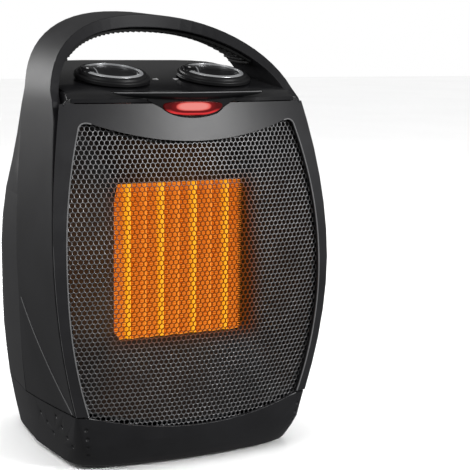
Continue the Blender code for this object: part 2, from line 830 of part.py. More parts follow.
rear_shell = tube_loft("rear_shell", [shell_ring(z) for z in shell_levels()], SHELL_BLACK)
cut(rear_shell, hidden_loft("shell_hollow", shell_hollow()))
cut(rear_shell, cutter("intake_slots_tool", boxes=intake_slots()))
cut(rear_shell, hidden_loft("panel_room", panel_room()))
cut(rear_shell, hidden_loft("crown_room", crown_room()))
handle_room = handle_sections(GAP)
cut(rear_shell, hidden_loft("handle_room", handle_room + other_side(handle_room)))
cut(
    rear_shell,
    cutter(
        "rear_screw_holes",
        rods=[(spot - out * 0.01, spot + out * 0.01, SCREW_SHANK_R + GAP) for spot, out in screw_spots],
    ),
)


# Base: a tray with a chin in front, closed underneath


def base_ring(z, inset=0.0):
    """Half of the base's outline at a height, from the middle of the chin round to the back."""
    low = share(SEAM_Z - z, 0.0, SEAM_Z - UNDERSIDE_Z)
    undercut = CHIN_UNDERCUT * share(SEAM_Z - CHIN_DIP - z, 0.0, SEAM_Z - CHIN_DIP - UNDERSIDE_Z) ** 1.5
    rounding = 0.0025 + 0.0155 * low**1.4
    corner = band_half(SEAM_Z) - 0.004 * low - inset
    points = []
    front_steps = 8
    for i in range(front_steps + 1):
        x = (corner - rounding) * i / front_steps
        points.append((x, front_y(x, SEAM_Z) + undercut + inset))
    front_end = points[-1]
    side = seam_y(SEAM_Z)
    wide = flank_half(z) - inset
    corner_at = front_y(corner, SEAM_Z) + undercut + inset

    def flank(y):
        part = share(y, corner_y(SEAM_Z), side)
        return corner + (wide - corner) * sin(pi / 2 * part)

    after = (flank(corner_at + rounding), corner_at + rounding)
    for i in range(1, 5):
        points.append(bend(front_end, (flank(corner_at), corner_at), after, i / 4))
    for i in range(1, 6):
        y = after[1] + (side - after[1]) * i / 5
        points.append((flank(y), y))
    back = SHELL_DEPTH - 0.004 * low**2 - inset
    points += back_plan(wide, side, back, BACK_TAPER, PLAN_STEPS)[1:]
    return points


def whole_ring(points, level):
    """The half outline carried on round the other side, at a height or at a height for each x."""
    full = points + [(-x, y) for x, y in reversed(points[1:-1])]
    return [(x, y, level(x, y) if callable(level) else level) for x, y in full]


def rim_z(x, y):
    """The base's rim: level on the sides, dipping across the chin."""
    if y > corner_y(SEAM_Z) + 0.004:
        return SEAM_Z
    return chin_z(x)


def base_rows():
    rim = base_ring(SEAM_Z)
    lip = [(x * 0.965, y + (LIP_DEPTH if y < 0 else -LIP_DEPTH)) for x, y in rim]
    front_end = corner_y(SEAM_Z) + 0.004
    lip = [(x if y < front_end else inner_x, inner_y) for (x, y), (inner_x, inner_y) in zip(rim, lip)]
    rows = [
        [(x, y, rim_z(*outer)) for (x, y), outer in zip(whole_pairs(lip), whole_pairs(rim))],
        whole_ring(rim, rim_z),
    ]
    for z in (0.0185, 0.0125, 0.0070, 0.0030):
        rows.append(whole_ring(base_ring(z), z))
    rows.append(whole_ring(base_ring(UNDERSIDE_Z, 0.0018), UNDERSIDE_Z))
    return list(reversed(rows))


def whole_pairs(points):
    return points + [(-x, y) for x, y in reversed(points[1:-1])]


def foot_spots():
    return [(side * FOOT_X, y) for side in (-1, 1) for y in (FOOT_FRONT_Y, FOOT_BACK_Y)]


base = sheet(
    "base", base_rows(), SHELL_BLACK, WALL, closed_columns=True, towards=(0, 0, 0.5), cap=True
)
FLOOR_TOP = UNDERSIDE_Z + WALL
stem_r = 0.0025
under_rods = [((x, y, -0.01), (x, y, 0.01), stem_r + GAP) for x, y in foot_spots()]
under_rods.append(((PLUNGER_X, PLUNGER_Y, -0.01), (PLUNGER_X, PLUNGER_Y, 0.01), PLUNGER_R + RUNNING_GAP))
gland_y = SHELL_DEPTH
under_rods.append(((GLAND_X, gland_y - 0.012, GLAND_Z), (GLAND_X, gland_y + 0.012, GLAND_Z), GLAND_R + GAP))
cut(base, cutter("base_holes", rods=under_rods))

for name, (x, y) in zip(("front_left", "rear_left", "front_right", "rear_right"), foot_spots()):
    profile = [
        (0.0, FOOT_HEIGHT), (stem_r, FOOT_HEIGHT), (stem_r, UNDERSIDE_Z - GAP), (FOOT_R, UNDERSIDE_Z - GAP),
        (FOOT_R, 0.0004), (FOOT_R - 0.0006, 0.0), (0.0, 0.0),
    ]
    turned(f"foot_{name}", profile, RUBBER_BLACK, Matrix.Translation((x, y, 0.0)), steps=20)

for number, (spot, out) in enumerate(screw_spots, 1):
    head = 0.0018
    profile = [
        (0.0, head), (SCREW_R * 0.8, head), (SCREW_R, head * 0.4), (SCREW_R, GAP), (SCREW_SHANK_R, GAP),
        (SCREW_SHANK_R, -SCREW_LENGTH + 0.002), (0.0, -SCREW_LENGTH),
    ]
    turned(f"rear_screw_{number}", profile, STEEL, facing(out, spot + out * 0.0008), steps=16)

gland_profile = [
    (GLAND_R + 0.0022, 0.0022), (GLAND_R + 0.0022, GAP), (GLAND_R, GAP), (GLAND_R, -GLAND_LENGTH),
    (GLAND_BORE_R, -GLAND_LENGTH), (GLAND_BORE_R, 0.0022),
]
turned("cord_gland", gland_profile, RUBBER_BLACK, facing((0, 1, 0), (GLAND_X, gland_y, GLAND_Z)), steps=24)


# Knobs: each one turns on its own frame, whose Z axis is square to the panel


def knob(name, side, ring_gap):
    place = knob_place(side)
    top, foot = KNOB_HEIGHT, KNOB_LIFT
    groove = RING_R - RING_WIDTH - GAP, RING_R + RING_WIDTH + GAP
    profile = [
        (0.0, 0.0030), (groove[0] - 0.0012, 0.0024), (groove[0] - 0.0002, top - 0.0006),
        (groove[0], top - 0.0008), (groove[1], top - 0.0008), (groove[1] + 0.0002, top),
        (KNOB_R - 0.0024, top - 0.0004),
        (KNOB_R - 0.0016, top - 0.0020), (KNOB_R, top - 0.0026), (KNOB_R, foot), (SHAFT_R + 0.0030, foot),
        (SHAFT_R + GAP, foot), (SHAFT_R + GAP, 0.0016), (0.0, 0.0016),
    ]
    turned(name, profile, GLOSS_BLACK, place, steps=30)
    sections = []
    steps = 24
    for i in range(steps + 1):
        turn = ring_gap + radians(26) + (2 * pi - 2 * radians(26)) * i / steps
        out = Vector((cos(turn), sin(turn), 0))
        low, high = top - 0.0005, top + 0.0004
        corners = ((RING_R - RING_WIDTH, low), (RING_R + RING_WIDTH, low))
        corners += ((RING_R + RING_WIDTH, high), (RING_R - RING_WIDTH, high))
        sections.append([out * radius + Vector((0, 0, z)) for radius, z in corners])
    tube_loft(f"{name}_ring", sections, CHROME, place)
    shaft = [(0.0, 0.0012), (SHAFT_R, 0.0012), (SHAFT_R, -SHAFT_LENGTH), (0.0, -SHAFT_LENGTH)]
    turned(f"{name}_shaft", shaft, STEEL, place, steps=20)


knob("mode_knob", -1, pi - radians(12))
knob("thermostat_knob", 1, pi - radians(19))

# What the knobs turn: a bimetal thermostat and a rotary switch, hung under the panel
under_panel = -PANEL_WALL - 0.0035
shaft_room = SHAFT_R + 2 * RUNNING_GAP
thermostat_half = Vector((0.013, 0.011, 0.0))
thermostat_foot = Vector((0.0, 0.0, under_panel - 0.015))
thermostat_top = Vector((0.0, 0.0, under_panel))
place = knob_place(1)
thermostat_low = thermostat_foot - thermostat_half
body = block("thermostat_body", thermostat_low, thermostat_top + thermostat_half, WHITE_NYLON, 0.0008, place)
tool = cutter("thermostat_bore", rods=[((0, 0, under_panel - 0.013), (0, 0, 0.001), shaft_room)])
tool.matrix_basis = place
cut(body, tool)
place = knob_place(-1)
switch_r = 0.0125
switch_profile = [
    (shaft_room, under_panel), (switch_r, under_panel), (switch_r, under_panel - 0.0155),
    (0.0, under_panel - 0.0155), (0.0, under_panel - 0.013), (shaft_room, under_panel - 0.013),
]
turned("mode_switch_body", switch_profile, WHITE_NYLON, place, steps=24)

lamp = [(0.0, 0.0075), (0.0018, 0.0072), (0.0024, 0.0050), (0.0024, -0.0070), (0.0, -0.0075)]
lamp_at = (0.0, front_y(0.0, SHOULDER_Z) + 0.0095, SHOULDER_Z + LENS_Z - 0.0016)
turned("indicator_lamp", lamp, LAMP_GLASS, facing((1, 0, 0), lamp_at), steps=16)


# Air duct: a funnel from the heating element out to the grille

element_low = ELEMENT_Z - ELEMENT_HEIGHT / 2
element_high = ELEMENT_Z + ELEMENT_HEIGHT / 2


def outline_loop(inset):
    """The opening's outline as a closed run of (x, z) points, anticlockwise from the lower right corner."""
    right = [inner for inner, _ in bezel_columns()]
    chin_x = OPENING_HALF_TOP
    low = [(chin_x * i / GRID, chin_z(chin_x * i / GRID)) for i in range(GRID)]
    half = low + right
    full = half + [(-x, z) for x, z in reversed(half[1:-1])]
    middle = (SEAM_Z + opening_top_z()) / 2
    return [(x * (1 - inset / OPENING_HALF_MID), middle + (z - middle) * (1 - inset / 0.08)) for x, z in full]


def on_rectangle(point, half, low, high):
    """Where the ray from the element's centre through the point meets the element's rectangle."""
    middle = (low + high) / 2
    x, z = point[0], point[1] - middle
    reach = max(abs(x) / half, abs(z) / ((high - low) / 2))
    return x / reach, middle + z / reach


def duct():
    outline = outline_loop(0.0012)
    front = [(x, front_y(x, z) + LIP_DEPTH + GRILLE_WALL + 3 * GAP, z) for x, z in outline]
    rear_y = ELEMENT_FRONT_Y - 0.001
    margin = 0.0018  # the mouth at the element stands this far outside it
    half, low, high = ELEMENT_HALF + margin, element_low - margin, element_high + margin
    rear = [on_rectangle(point, half, low, high) for point in outline]
    collar = [(x, y + 0.0018, z) for x, y, z in front]
    rows = [front, collar, [(x, rear_y - 0.0012, z) for x, z in rear], [(x, rear_y, z) for x, z in rear]]
    middle = (0, ELEMENT_FRONT_Y * 1.3, ELEMENT_Z)
    return sheet("air_duct", rows, FRAME_NYLON, DUCT_WALL, closed_columns=True, towards=middle)


duct()

# Heating element: hot ceramic bars between corrugated aluminium fins, held in a nylon frame
front, back = ELEMENT_FRONT_Y, ELEMENT_FRONT_Y + ELEMENT_DEPTH
rim = ELEMENT_RIM
outer = ELEMENT_HALF + rim
frame = block(
    "element_frame", (-outer, front - GAP, element_low - rim), (outer, back + GAP, element_high + rim),
    FRAME_NYLON, 0.0006,
)
window_low = (-ELEMENT_HALF - GAP, front - THROUGH, element_low - GAP)
window_high = (ELEMENT_HALF + GAP, back + THROUGH, element_high + GAP)
cut(frame, cutter("element_window", boxes=[(window_low, window_high)]))
bay = 2 * ELEMENT_HALF / PTC_COUNT
solids = []
for number in range(PTC_COUNT):
    centre = -ELEMENT_HALF + bay * (number + 0.5)
    solids.append((f"ptc_bar_{number + 1}", centre, PTC_WIDTH, HOT_CERAMIC))
    if number:
        solids.append((f"element_divider_{number}", centre - bay / 2, DIVIDER_WIDTH, FIN_ALUMINIUM))
    fin = (bay - PTC_WIDTH - DIVIDER_WIDTH) / 2 - 2 * GAP
    for side in (-1, 1):
        middle = centre + side * (PTC_WIDTH / 2 + GAP + fin / 2)
        solids.append((f"fin_pack_{2 * number + (side + 3) // 2}", middle, fin, FIN_ALUMINIUM))
for name, middle, width, stuff in solids:
    block(name, (middle - width / 2, front, element_low), (middle + width / 2, back, element_high), stuff)

cutoff = [(0.0, 0.0025), (0.0062, 0.0025), (0.0062, -0.0025), (0.0, -0.0025)]
cutoff_at = (0.022, back - 0.007, element_high + rim + 0.0032)
turned("thermal_cutoff", cutoff, STEEL, Matrix.Translation(cutoff_at), steps=20)

# Fan shroud: a frame behind the element that narrows to a round throat
shroud_front = back + 2 * GAP
plate_y = shroud_front + 0.010
shroud_back = plate_y + SHROUD_WALL
shroud_low = (-outer, shroud_front, element_low - rim)
shroud = block("fan_shroud", shroud_low, (outer, shroud_back, element_high + rim), FRAME_NYLON)
throat_r = FAN_R + FAN_TIP_GAP
collar_r = throat_r + SHROUD_WALL
throat = [(collar_r, 0.0), (collar_r, SHROUD_DEPTH), (throat_r, SHROUD_DEPTH), (throat_r, 0.0)]
throat_place = facing((0, 1, 0), (0, plate_y + 0.0005, FAN_Z))
throat_tool = turned("shroud_throat", list(reversed(throat)), FRAME_NYLON, throat_place, steps=48)
throat_tool.hide_render = True
throat_tool.display_type = "WIRE"
cut(shroud, cutter(
    "shroud_chamber",
    boxes=[((-outer + SHROUD_WALL, shroud_front - 0.01, element_low - rim + SHROUD_WALL),
            (outer - SHROUD_WALL, plate_y, element_high + rim - SHROUD_WALL))],
))
cut(shroud, cutter("throat_hole", rods=[((0, plate_y - 0.002, FAN_Z), (0, plate_y + 0.01, FAN_Z), throat_r)]))
cut(shroud, throat_tool, "UNION")
throat_end = plate_y + 0.0005 + SHROUD_DEPTH

# Fan: seven blades on a hub, with its shaft and the motor's rotor, all turning about one axis
fan_axis = facing((0, 1, 0), (0, 0, FAN_Z))
fan_front = plate_y + SHROUD_WALL + 0.001
fan_back = fan_front + FAN_DEPTH


def impeller():
    wall_inside = HUB_R - 0.002
    boss_r = FAN_SHAFT_R + 0.0025
    bore_r = FAN_SHAFT_R + GAP
    hub = [
        (0.0, fan_front), (HUB_R - 0.003, fan_front), (HUB_R, fan_front + 0.002), (HUB_R, fan_back),
        (wall_inside, fan_back), (wall_inside, fan_front + 0.003), (boss_r, fan_front + 0.003),
        (boss_r, fan_back), (bore_r, fan_back), (bore_r, fan_front + 0.0015), (0.0, fan_front + 0.0015),
    ]
    return turned("fan_impeller", list(reversed(hub)), FRAME_NYLON, fan_axis, steps=21)


def blade_tool():
    """All blades in one helper: twisted sheets from inside the hub's wall out to the tip."""
    bm = bmesh.new()
    for number in range(BLADES):
        around = 2 * pi * number / BLADES
        sections = []
        for step in range(4):
            radius = HUB_R - 0.0008 + (FAN_R - HUB_R + 0.0008) * step / 3
            chord = 0.017 + 0.009 * step / 3
            pitch = BLADE_PITCH - radians(9) * step / 3
            along = Vector((cos(pitch), 0.0, sin(pitch)))
            across = Vector((-sin(pitch), 0.0, cos(pitch)))
            middle = (fan_front + fan_back) / 2 + 0.0005
            centre = Vector((0.0, 0.0, middle))
            spin = Matrix.Rotation(around, 4, "Z")
            section = []
            for a, b in ((-0.5, -0.5), (0.0, 0.4), (0.5, -0.5), (0.5, 0.5), (0.0, 1.4), (-0.5, 0.5)):
                point = along * a * chord * 0.94 + across * b * BLADE_WALL + centre
                bent = point.x / radius
                section.append(spin @ Vector((radius * cos(bent), radius * sin(bent), point.z)))
            sections.append(section)
        verts = skin(bm, sections, closed_columns=True)
        bm.faces.new(verts[0])
        bm.faces.new(reversed(verts[-1]))
    tool = finish("fan_blades", bm, FRAME_NYLON, fan_axis)
    tool.hide_render = True
    tool.display_type = "WIRE"
    return tool


wheel = impeller()
cut(wheel, blade_tool(), "UNION")

stator_front = STATOR_Y
stator_back = STATOR_Y + STATOR_DEPTH


def sleeve(inner, outside, start, end):
    """Profile of a plain sleeve, or of a rod when the inner radius is 0."""
    return [(inner, end), (outside, end), (outside, start), (inner, start)]


shaft_profile = sleeve(0.0, FAN_SHAFT_R, fan_front + 0.002, stator_back + 0.012)
turned("fan_shaft", shaft_profile, STEEL, fan_axis, steps=16)
rotor_profile = sleeve(FAN_SHAFT_R + GAP, ROTOR_R, stator_front, stator_back)
turned("motor_rotor", rotor_profile, LAMINATION, fan_axis, steps=28)

# Motor: laminated stator with its coil on the upper leg, between two bearing brackets
leg_low = FAN_Z + 0.021
leg_high = FAN_Z + STATOR_HEIGHT - 0.017
stator_low, stator_high = (-STATOR_HALF, stator_front, FAN_Z - 0.017), (STATOR_HALF, stator_back, leg_high)
stator = block("motor_stator", stator_low, stator_high, LAMINATION)
window_half = 0.017
window_low = Vector((-window_half, stator_front - THROUGH, FAN_Z + 0.0135))
window_high = Vector((window_half, stator_back + THROUGH, leg_low))
cut(stator, cutter(
    "stator_cuts",
    boxes=[(window_low, window_high)],
    rods=[((0, stator_front - THROUGH, FAN_Z), (0, stator_back + THROUGH, FAN_Z), ROTOR_R + POLE_GAP)],
))
wound = Vector((0.0150, 0.0055, 0.0060))  # half length of the coil, and what it stands out from the leg
leg_start, leg_end = Vector((0.0, stator_front, leg_low)), Vector((0.0, stator_back, leg_high))
coil = block("motor_coil", leg_start - wound, leg_end + wound, COPPER, 0.0016)
cut(coil, cutter(
    "coil_window",
    boxes=[((-0.03, stator_front - GAP, leg_low - GAP), (0.03, stator_back + GAP, leg_high + GAP))],
))
bracket_back = stator_front - 0.0062
bracket_front = bracket_back - 0.0022
seat_r = BEARING_R + GAP
rear_plate = stator_back + GAP
bracket_high = 0.009  # half its height
for name, half, start, end in (
    ("front", collar_r, bracket_front, bracket_back),
    ("rear", STATOR_HALF, rear_plate, rear_plate + 0.0016),
):
    low, high = (-half, start, FAN_Z - bracket_high), (half, end, FAN_Z + bracket_high)
    bracket = block(f"motor_{name}_bracket", low, high, STEEL)
    seat = ((0, start - THROUGH, FAN_Z), (0, end + THROUGH, FAN_Z), seat_r)
    cut(bracket, cutter(f"{name}_seat", rods=[seat]))
for name, start in (("front", bracket_front - 0.0015), ("rear", rear_plate + 0.0006)):
    bush = sleeve(FAN_SHAFT_R + 0.00008, BEARING_R, start, start + BEARING_LENGTH)
    turned(f"motor_bearing_{name}", bush, BRONZE, fan_axis, steps=16)

# Tip-over switch: a plunger through the floor of the base, pushed down by its spring
stem_top = 0.0165
plunger = [
    (0.0, stem_top), (STEM_R, stem_top), (STEM_R, 0.0075), (PLUNGER_R, 0.0075), (PLUNGER_R, 0.0012),
    (PLUNGER_R - 0.0016, 0.0), (0.0, 0.0),
]
turned("tip_over_plunger", plunger, WHITE_NYLON, Matrix.Translation((PLUNGER_X, PLUNGER_Y, 0.0)), steps=20)
spring = [(0.0021, 0.0138), (0.0034, 0.0138), (0.0034, 0.0078), (0.0021, 0.0078)]
turned("tip_over_spring", spring, STEEL, Matrix.Translation((PLUNGER_X, PLUNGER_Y, 0.0)), steps=16)
switch_half = Vector((0.009, 0.007, 0.0))
switch_foot = Vector((PLUNGER_X, PLUNGER_Y, FLOOR_TOP + GAP))
switch_top = Vector((PLUNGER_X, PLUNGER_Y, 0.0240))
switch = block("tip_over_switch", switch_foot - switch_half, switch_top + switch_half, FRAME_NYLON, 0.0006)
for name, top, radius in (("plunger_bore", 0.0141, PLUNGER_R), ("stem_bore", 0.0215, STEM_R)):
    rod = ((PLUNGER_X, PLUNGER_Y, -0.01), (PLUNGER_X, PLUNGER_Y, top), radius + RUNNING_GAP)
    cut(switch, cutter(name, rods=[rod]))

# Terminal block where the supply lead would be clamped
terminal_half = 0.014
terminal_low = (GLAND_X - terminal_half, 0.044, FLOOR_TOP + GAP)
terminal_high = (GLAND_X + terminal_half, 0.056, 0.018)
block("terminal_block", terminal_low, terminal_high, WHITE_NYLON, 0.0008)

# Centre the whole heater's box on the origin
bpy.context.view_layer.update()
rearmost = SHELL_DEPTH + 0.0022
foremost = front_y(0.0, SEAM_Z)
heater.location.y = -(rearmost + foremost) / 2
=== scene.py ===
from math import cos, pi, radians, sin, tan

import bmesh
import bpy
from mathutils import Matrix, Vector


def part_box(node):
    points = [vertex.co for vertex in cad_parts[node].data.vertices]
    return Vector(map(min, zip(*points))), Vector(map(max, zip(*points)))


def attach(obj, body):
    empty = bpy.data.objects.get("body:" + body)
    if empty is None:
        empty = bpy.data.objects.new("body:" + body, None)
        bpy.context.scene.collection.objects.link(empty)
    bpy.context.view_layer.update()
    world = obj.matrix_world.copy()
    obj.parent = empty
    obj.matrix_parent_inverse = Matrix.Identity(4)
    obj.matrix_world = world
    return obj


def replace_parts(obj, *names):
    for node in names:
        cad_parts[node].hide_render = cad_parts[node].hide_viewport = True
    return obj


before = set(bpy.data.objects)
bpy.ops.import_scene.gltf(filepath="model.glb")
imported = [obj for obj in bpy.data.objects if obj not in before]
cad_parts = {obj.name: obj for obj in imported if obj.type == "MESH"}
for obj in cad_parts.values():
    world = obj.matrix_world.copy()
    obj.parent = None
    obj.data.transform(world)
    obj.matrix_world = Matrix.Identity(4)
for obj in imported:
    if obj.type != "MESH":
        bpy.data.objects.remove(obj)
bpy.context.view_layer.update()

scene = bpy.context.scene
scene.view_settings.view_transform = "Standard"

# Floor and studio: a pale paper sheet under the heater, a key softbox in front on the right, one
# behind on the left as a rim light, a weaker one from the left side, and a broad sun that lights
# only the floor. The camera stands in front and to the left.


def node(material, kind, **settings):
    """A shader node with its settings; a link is given as an output socket."""
    made = material.node_tree.nodes.new(kind)
    for key, value in settings.items():
        if key in made.bl_rna.properties:
            setattr(made, key, value)
            continue
        name = int(key[1:]) if key[1:].isdigit() else key.replace("_", " ")
        if isinstance(value, bpy.types.NodeSocket):
            material.node_tree.links.new(value, made.inputs[name])
        else:
            made.inputs[name].default_value = value
    return made


def ramp(material, source, *stops):
    """Colours along a value, given as (place, colour) pairs."""
    made = node(material, "ShaderNodeValToRGB", Fac=source)
    while len(made.color_ramp.elements) < len(stops):
        made.color_ramp.elements.new(0.5)
    for element, (place, colour) in zip(made.color_ramp.elements, stops):
        element.position = place
        element.color = (*colour, 1.0)
    return made.outputs["Color"]


def blank(name):
    """A material with its shader, and the place that patterns are laid out on."""
    material = bpy.data.materials.new(name)
    material.use_nodes = True
    shader = material.node_tree.nodes["Principled BSDF"]
    place = node(material, "ShaderNodeTexCoord").outputs["Object"]
    return material, shader, place


def grey(value, tint=0.0):
    """A grey, with a little blue added to it."""
    return (value, value, value + tint)


floor_maker = bmesh.new()
FLOOR_HALF = 6.0
bmesh.ops.create_grid(floor_maker, x_segments=8, y_segments=8, size=FLOOR_HALF)
floor_mesh = bpy.data.meshes.new("studio_floor")
floor_maker.to_mesh(floor_mesh)
floor = bpy.data.objects.new("studio_floor", floor_mesh)
scene.collection.objects.link(floor)
paper, paper_shader, paper_place = blank("floor_paper")
paper_mottle = node(paper, "ShaderNodeTexNoise", Vector=paper_place, Scale=3.0, Detail=2.0)
paper.node_tree.links.new(
    ramp(paper, paper_mottle.outputs["Fac"], (0.3, grey(0.86)), (0.7, grey(0.88))),
    paper_shader.inputs["Base Color"],
)
paper_shader.inputs["Roughness"].default_value = 0.9
floor_mesh.materials.append(paper)
floor.visible_glossy = False
floor.visible_diffuse = False

world = bpy.data.worlds.new("studio_air")
world.use_nodes = True
AMBIENT = 0.16
SEEN_BACKDROP = 1.0
air = world.node_tree
air_light = air.nodes["Background"]
air_light.inputs["Color"].default_value = (1.0, 1.0, 1.0, 1.0)
seen = air.nodes.new("ShaderNodeLightPath").outputs["Is Camera Ray"]
brightness = air.nodes.new("ShaderNodeMapRange")
brightness.inputs["To Min"].default_value = AMBIENT
brightness.inputs["To Max"].default_value = SEEN_BACKDROP
air.links.new(seen, brightness.inputs["Value"])
air.links.new(brightness.outputs["Result"], air_light.inputs["Strength"])
scene.world = world


def soft_light(name, at, towards, across, high, power):
    """A rectangular softbox."""
    data = bpy.data.lights.new(name, "AREA")
    data.shape = "RECTANGLE"
    data.size, data.size_y = across, high
    data.energy = power
    made = bpy.data.objects.new(name, data)
    made.location = at
    made.rotation_euler = (Vector(towards) - Vector(at)).to_track_quat("-Z", "Y").to_euler()
    scene.collection.objects.link(made)


soft_light("key_softbox", (0.70, -1.28, 0.78), (0, -0.05, 0.19), 0.45, 0.45, 12)
soft_light("rim_softbox", (-0.75, 1.2, 0.75), (0, 0.03, 0.2), 0.6, 0.6, 9)
soft_light("side_softbox", (-1.5, -0.6, 1.0), (0, 0, 0.15), 0.7, 0.9, 5)
FLOOR_LIGHT = 3.0
down = bpy.data.lights.new("floor_light", "SUN")
down.energy = FLOOR_LIGHT
down.angle = radians(70.0)
floor_light = bpy.data.objects.new("floor_light", down)
floor_light.location = (0.0, 0.0, 2.0)
scene.collection.objects.link(floor_light)
floor_only = bpy.data.collections.new("floor_only")
floor_only.objects.link(floor)
floor_light.light_linking.receiver_collection = floor_only

YAW, PITCH, ROLL = radians(-28.185), radians(8.286), radians(0.648)
LENS_MM, SENSOR_MM = 107.3, 36.0
EYE = Vector((-0.35751, -0.78283, 0.25073))
ahead = Vector((-sin(YAW) * cos(PITCH), cos(YAW) * cos(PITCH), -sin(PITCH)))
level_right = ahead.cross(Vector((0, 0, 1))).normalized()
level_up = level_right.cross(ahead)
right = level_right * cos(ROLL) + level_up * sin(ROLL)
up = level_up * cos(ROLL) - level_right * sin(ROLL)
lens = bpy.data.cameras.new("studio_camera")
lens.lens = LENS_MM
lens.sensor_width = SENSOR_MM
camera = bpy.data.objects.new("studio_camera", lens)
camera.matrix_world = Matrix.Translation(EYE) @ Matrix((right, up, -ahead)).transposed().to_4x4()
scene.collection.objects.link(camera)
scene.camera = camera

# Base tray: black moulded plastic with a fine spark-eroded texture, a bowed chin under the grille
# and a group of small round dimples pressed into each front corner.


def roughen(material, shader, height, strength, deep=0.0001):
    """Fine relief on a surface, as a bump from a pattern."""
    bump = node(material, "ShaderNodeBump", Strength=strength, Distance=deep, Height=height)
    material.node_tree.links.new(bump.outputs["Normal"], shader.inputs["Normal"])


def moulded_plastic(name, dark, light, roughness, grain, depth):
    """Textured moulding: mottled colour, uneven gloss and a fine pebble grain."""
    material, shader, place = blank(name)
    mottle = node(material, "ShaderNodeTexNoise", Vector=place, Scale=38.0, Detail=6.0, Roughness=0.6)
    colour = ramp(material, mottle.outputs["Fac"], (0.32, dark), (0.68, light))
    material.node_tree.links.new(colour, shader.inputs["Base Color"])
    worn = node(material, "ShaderNodeMapRange", Value=mottle.outputs["Fac"])
    worn.inputs["To Min"].default_value = roughness - 0.04
    worn.inputs["To Max"].default_value = roughness + 0.05
    material.node_tree.links.new(worn.outputs["Result"], shader.inputs["Roughness"])
    pebble = node(material, "ShaderNodeTexNoise", Vector=place, Scale=grain, Detail=3.0, Roughness=0.7)
    roughen(material, shader, pebble.outputs["Fac"], depth)
    return material


CREASE = 32.0  # degrees: edges that turn more than this stay sharp, or are rounded over
MERGE = 0.000004  # vertices nearer than this are one
FLAT = 0.6  # degrees: triangles that turn less than this are one face


def settle(name, maker, material, body="root", smooth=CREASE):
    """Make the mesh of a piece, shade it, and let it ride on its body."""
    mesh = bpy.data.meshes.new(name)
    maker.to_mesh(mesh)
    maker.free()
    mesh.materials.append(material)
    mesh.shade_smooth()
    mesh.set_sharp_from_angle(angle=radians(smooth))
    piece = bpy.data.objects.new(name, mesh)
    scene.collection.objects.link(piece)
    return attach(piece, body)


def merged(source):
    """A copy of a CAD node's mesh with its loose triangles joined."""
    maker = bmesh.new()
    maker.from_mesh(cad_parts[source].data)
    bmesh.ops.remove_doubles(maker, verts=maker.verts, dist=MERGE)
    bmesh.ops.dissolve_limit(
        maker, angle_limit=radians(FLAT), verts=maker.verts, edges=maker.edges,
        use_dissolve_boundaries=False,
    )
    return maker


def round_edges(piece, width, angle=CREASE):
    """Rounded edges as a modifier, on corners sharper than an angle."""
    edge = piece.modifiers.new("rounded_edges", "BEVEL")
    edge.width = width
    edge.segments = 2
    edge.limit_method = "ANGLE"
    edge.angle_limit = radians(angle)
    edge.harden_normals = True
    return piece


def shell(source, name, material, edge=0.0004, body="root", smooth=CREASE):
    """A piece with a CAD node's shape, joined up and with its edges rounded, in that node's place."""
    piece = settle(name, merged(source), material, body, smooth)
    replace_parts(piece, source)
    if edge:
        round_edges(piece, edge, smooth)
    return piece


shell_black = moulded_plastic(
    "moulded_shell_black", grey(0.016, 0.002), grey(0.024, 0.003), 0.46, 2600.0, 0.35
)
base_tray = shell("base", "base_tray", shell_black, 0.0003)
DIMPLE_R = 0.0017
DIMPLE_REACH = 0.0009  # from the surface out to the ball that presses the dimple
SIDE_DIMPLES = (  # depth and height of each on the side face
    (-0.014, 0.026), (-0.022, 0.022), (-0.029, 0.017), (-0.037, 0.029), (-0.043, 0.024),
    (-0.049, 0.019), (-0.054, 0.015),
)
FRONT_DIMPLES = (  # distance from the middle and height of each on the front face
    (0.0690, 0.0270), (0.0680, 0.0215), (0.0670, 0.0160), (0.0655, 0.0105),
)
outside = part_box("base")[1].x + 0.02  # where the search for the surface starts, clear of it


def carve(piece, tool):
    """Cut the tool out of the piece for good, and take the tool away."""
    knife = piece.modifiers.new("carve", "BOOLEAN")
    knife.object = tool
    knife.solver = "EXACT"
    others = [m for m in piece.modifiers if m != knife]
    for modifier in others:
        modifier.show_viewport = False
    graph = bpy.context.evaluated_depsgraph_get()
    graph.update()
    carved = bpy.data.meshes.new_from_object(piece.evaluated_get(graph))
    for modifier in others:
        modifier.show_viewport = True
    piece.modifiers.remove(knife)
    piece.data = carved
    bpy.data.objects.remove(tool)


def loose_object(name, maker):
    """A mesh as an object of its own, for use as a tool."""
    mesh = bpy.data.meshes.new(name)
    maker.to_mesh(mesh)
    maker.free()
    made = bpy.data.objects.new(name, mesh)
    scene.collection.objects.link(made)
    return made


def press_dimple(tool, start, towards):
    """Add a ball to the tool where a line from the start meets the tray."""
    hit, spot, normal, _ = base_tray.ray_cast(Vector(start), Vector(towards))
    if hit:
        ball = bmesh.ops.create_icosphere(tool, subdivisions=2, radius=DIMPLE_R)["verts"]
        bmesh.ops.translate(tool, vec=spot + normal * DIMPLE_REACH, verts=ball)


# The lengths below are measured from the plane where the front and rear mouldings meet; the frame
# is centred on the heater's box, so depths are moved on by the distance between the two.
ELEMENT_AHEAD = 0.0423
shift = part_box("element_frame")[0].y + ELEMENT_AHEAD
pressed = bmesh.new()
for side in (-1, 1):
    for y, z in SIDE_DIMPLES:
        press_dimple(pressed, (side * outside, y + shift, z), (-side, 0, 0))
    for x, z in FRONT_DIMPLES:
        press_dimple(pressed, (side * x, -outside, z), (0, 1, 0))
carve(base_tray, loose_object("dimple_press", pressed))
base_tray.data.set_sharp_from_angle(angle=radians(CREASE))

# Feet and cord gland: matt black rubber mouldings, pressed into holes in the tray. The gland is
# the strain relief of the supply cord, and the cord itself is left out.


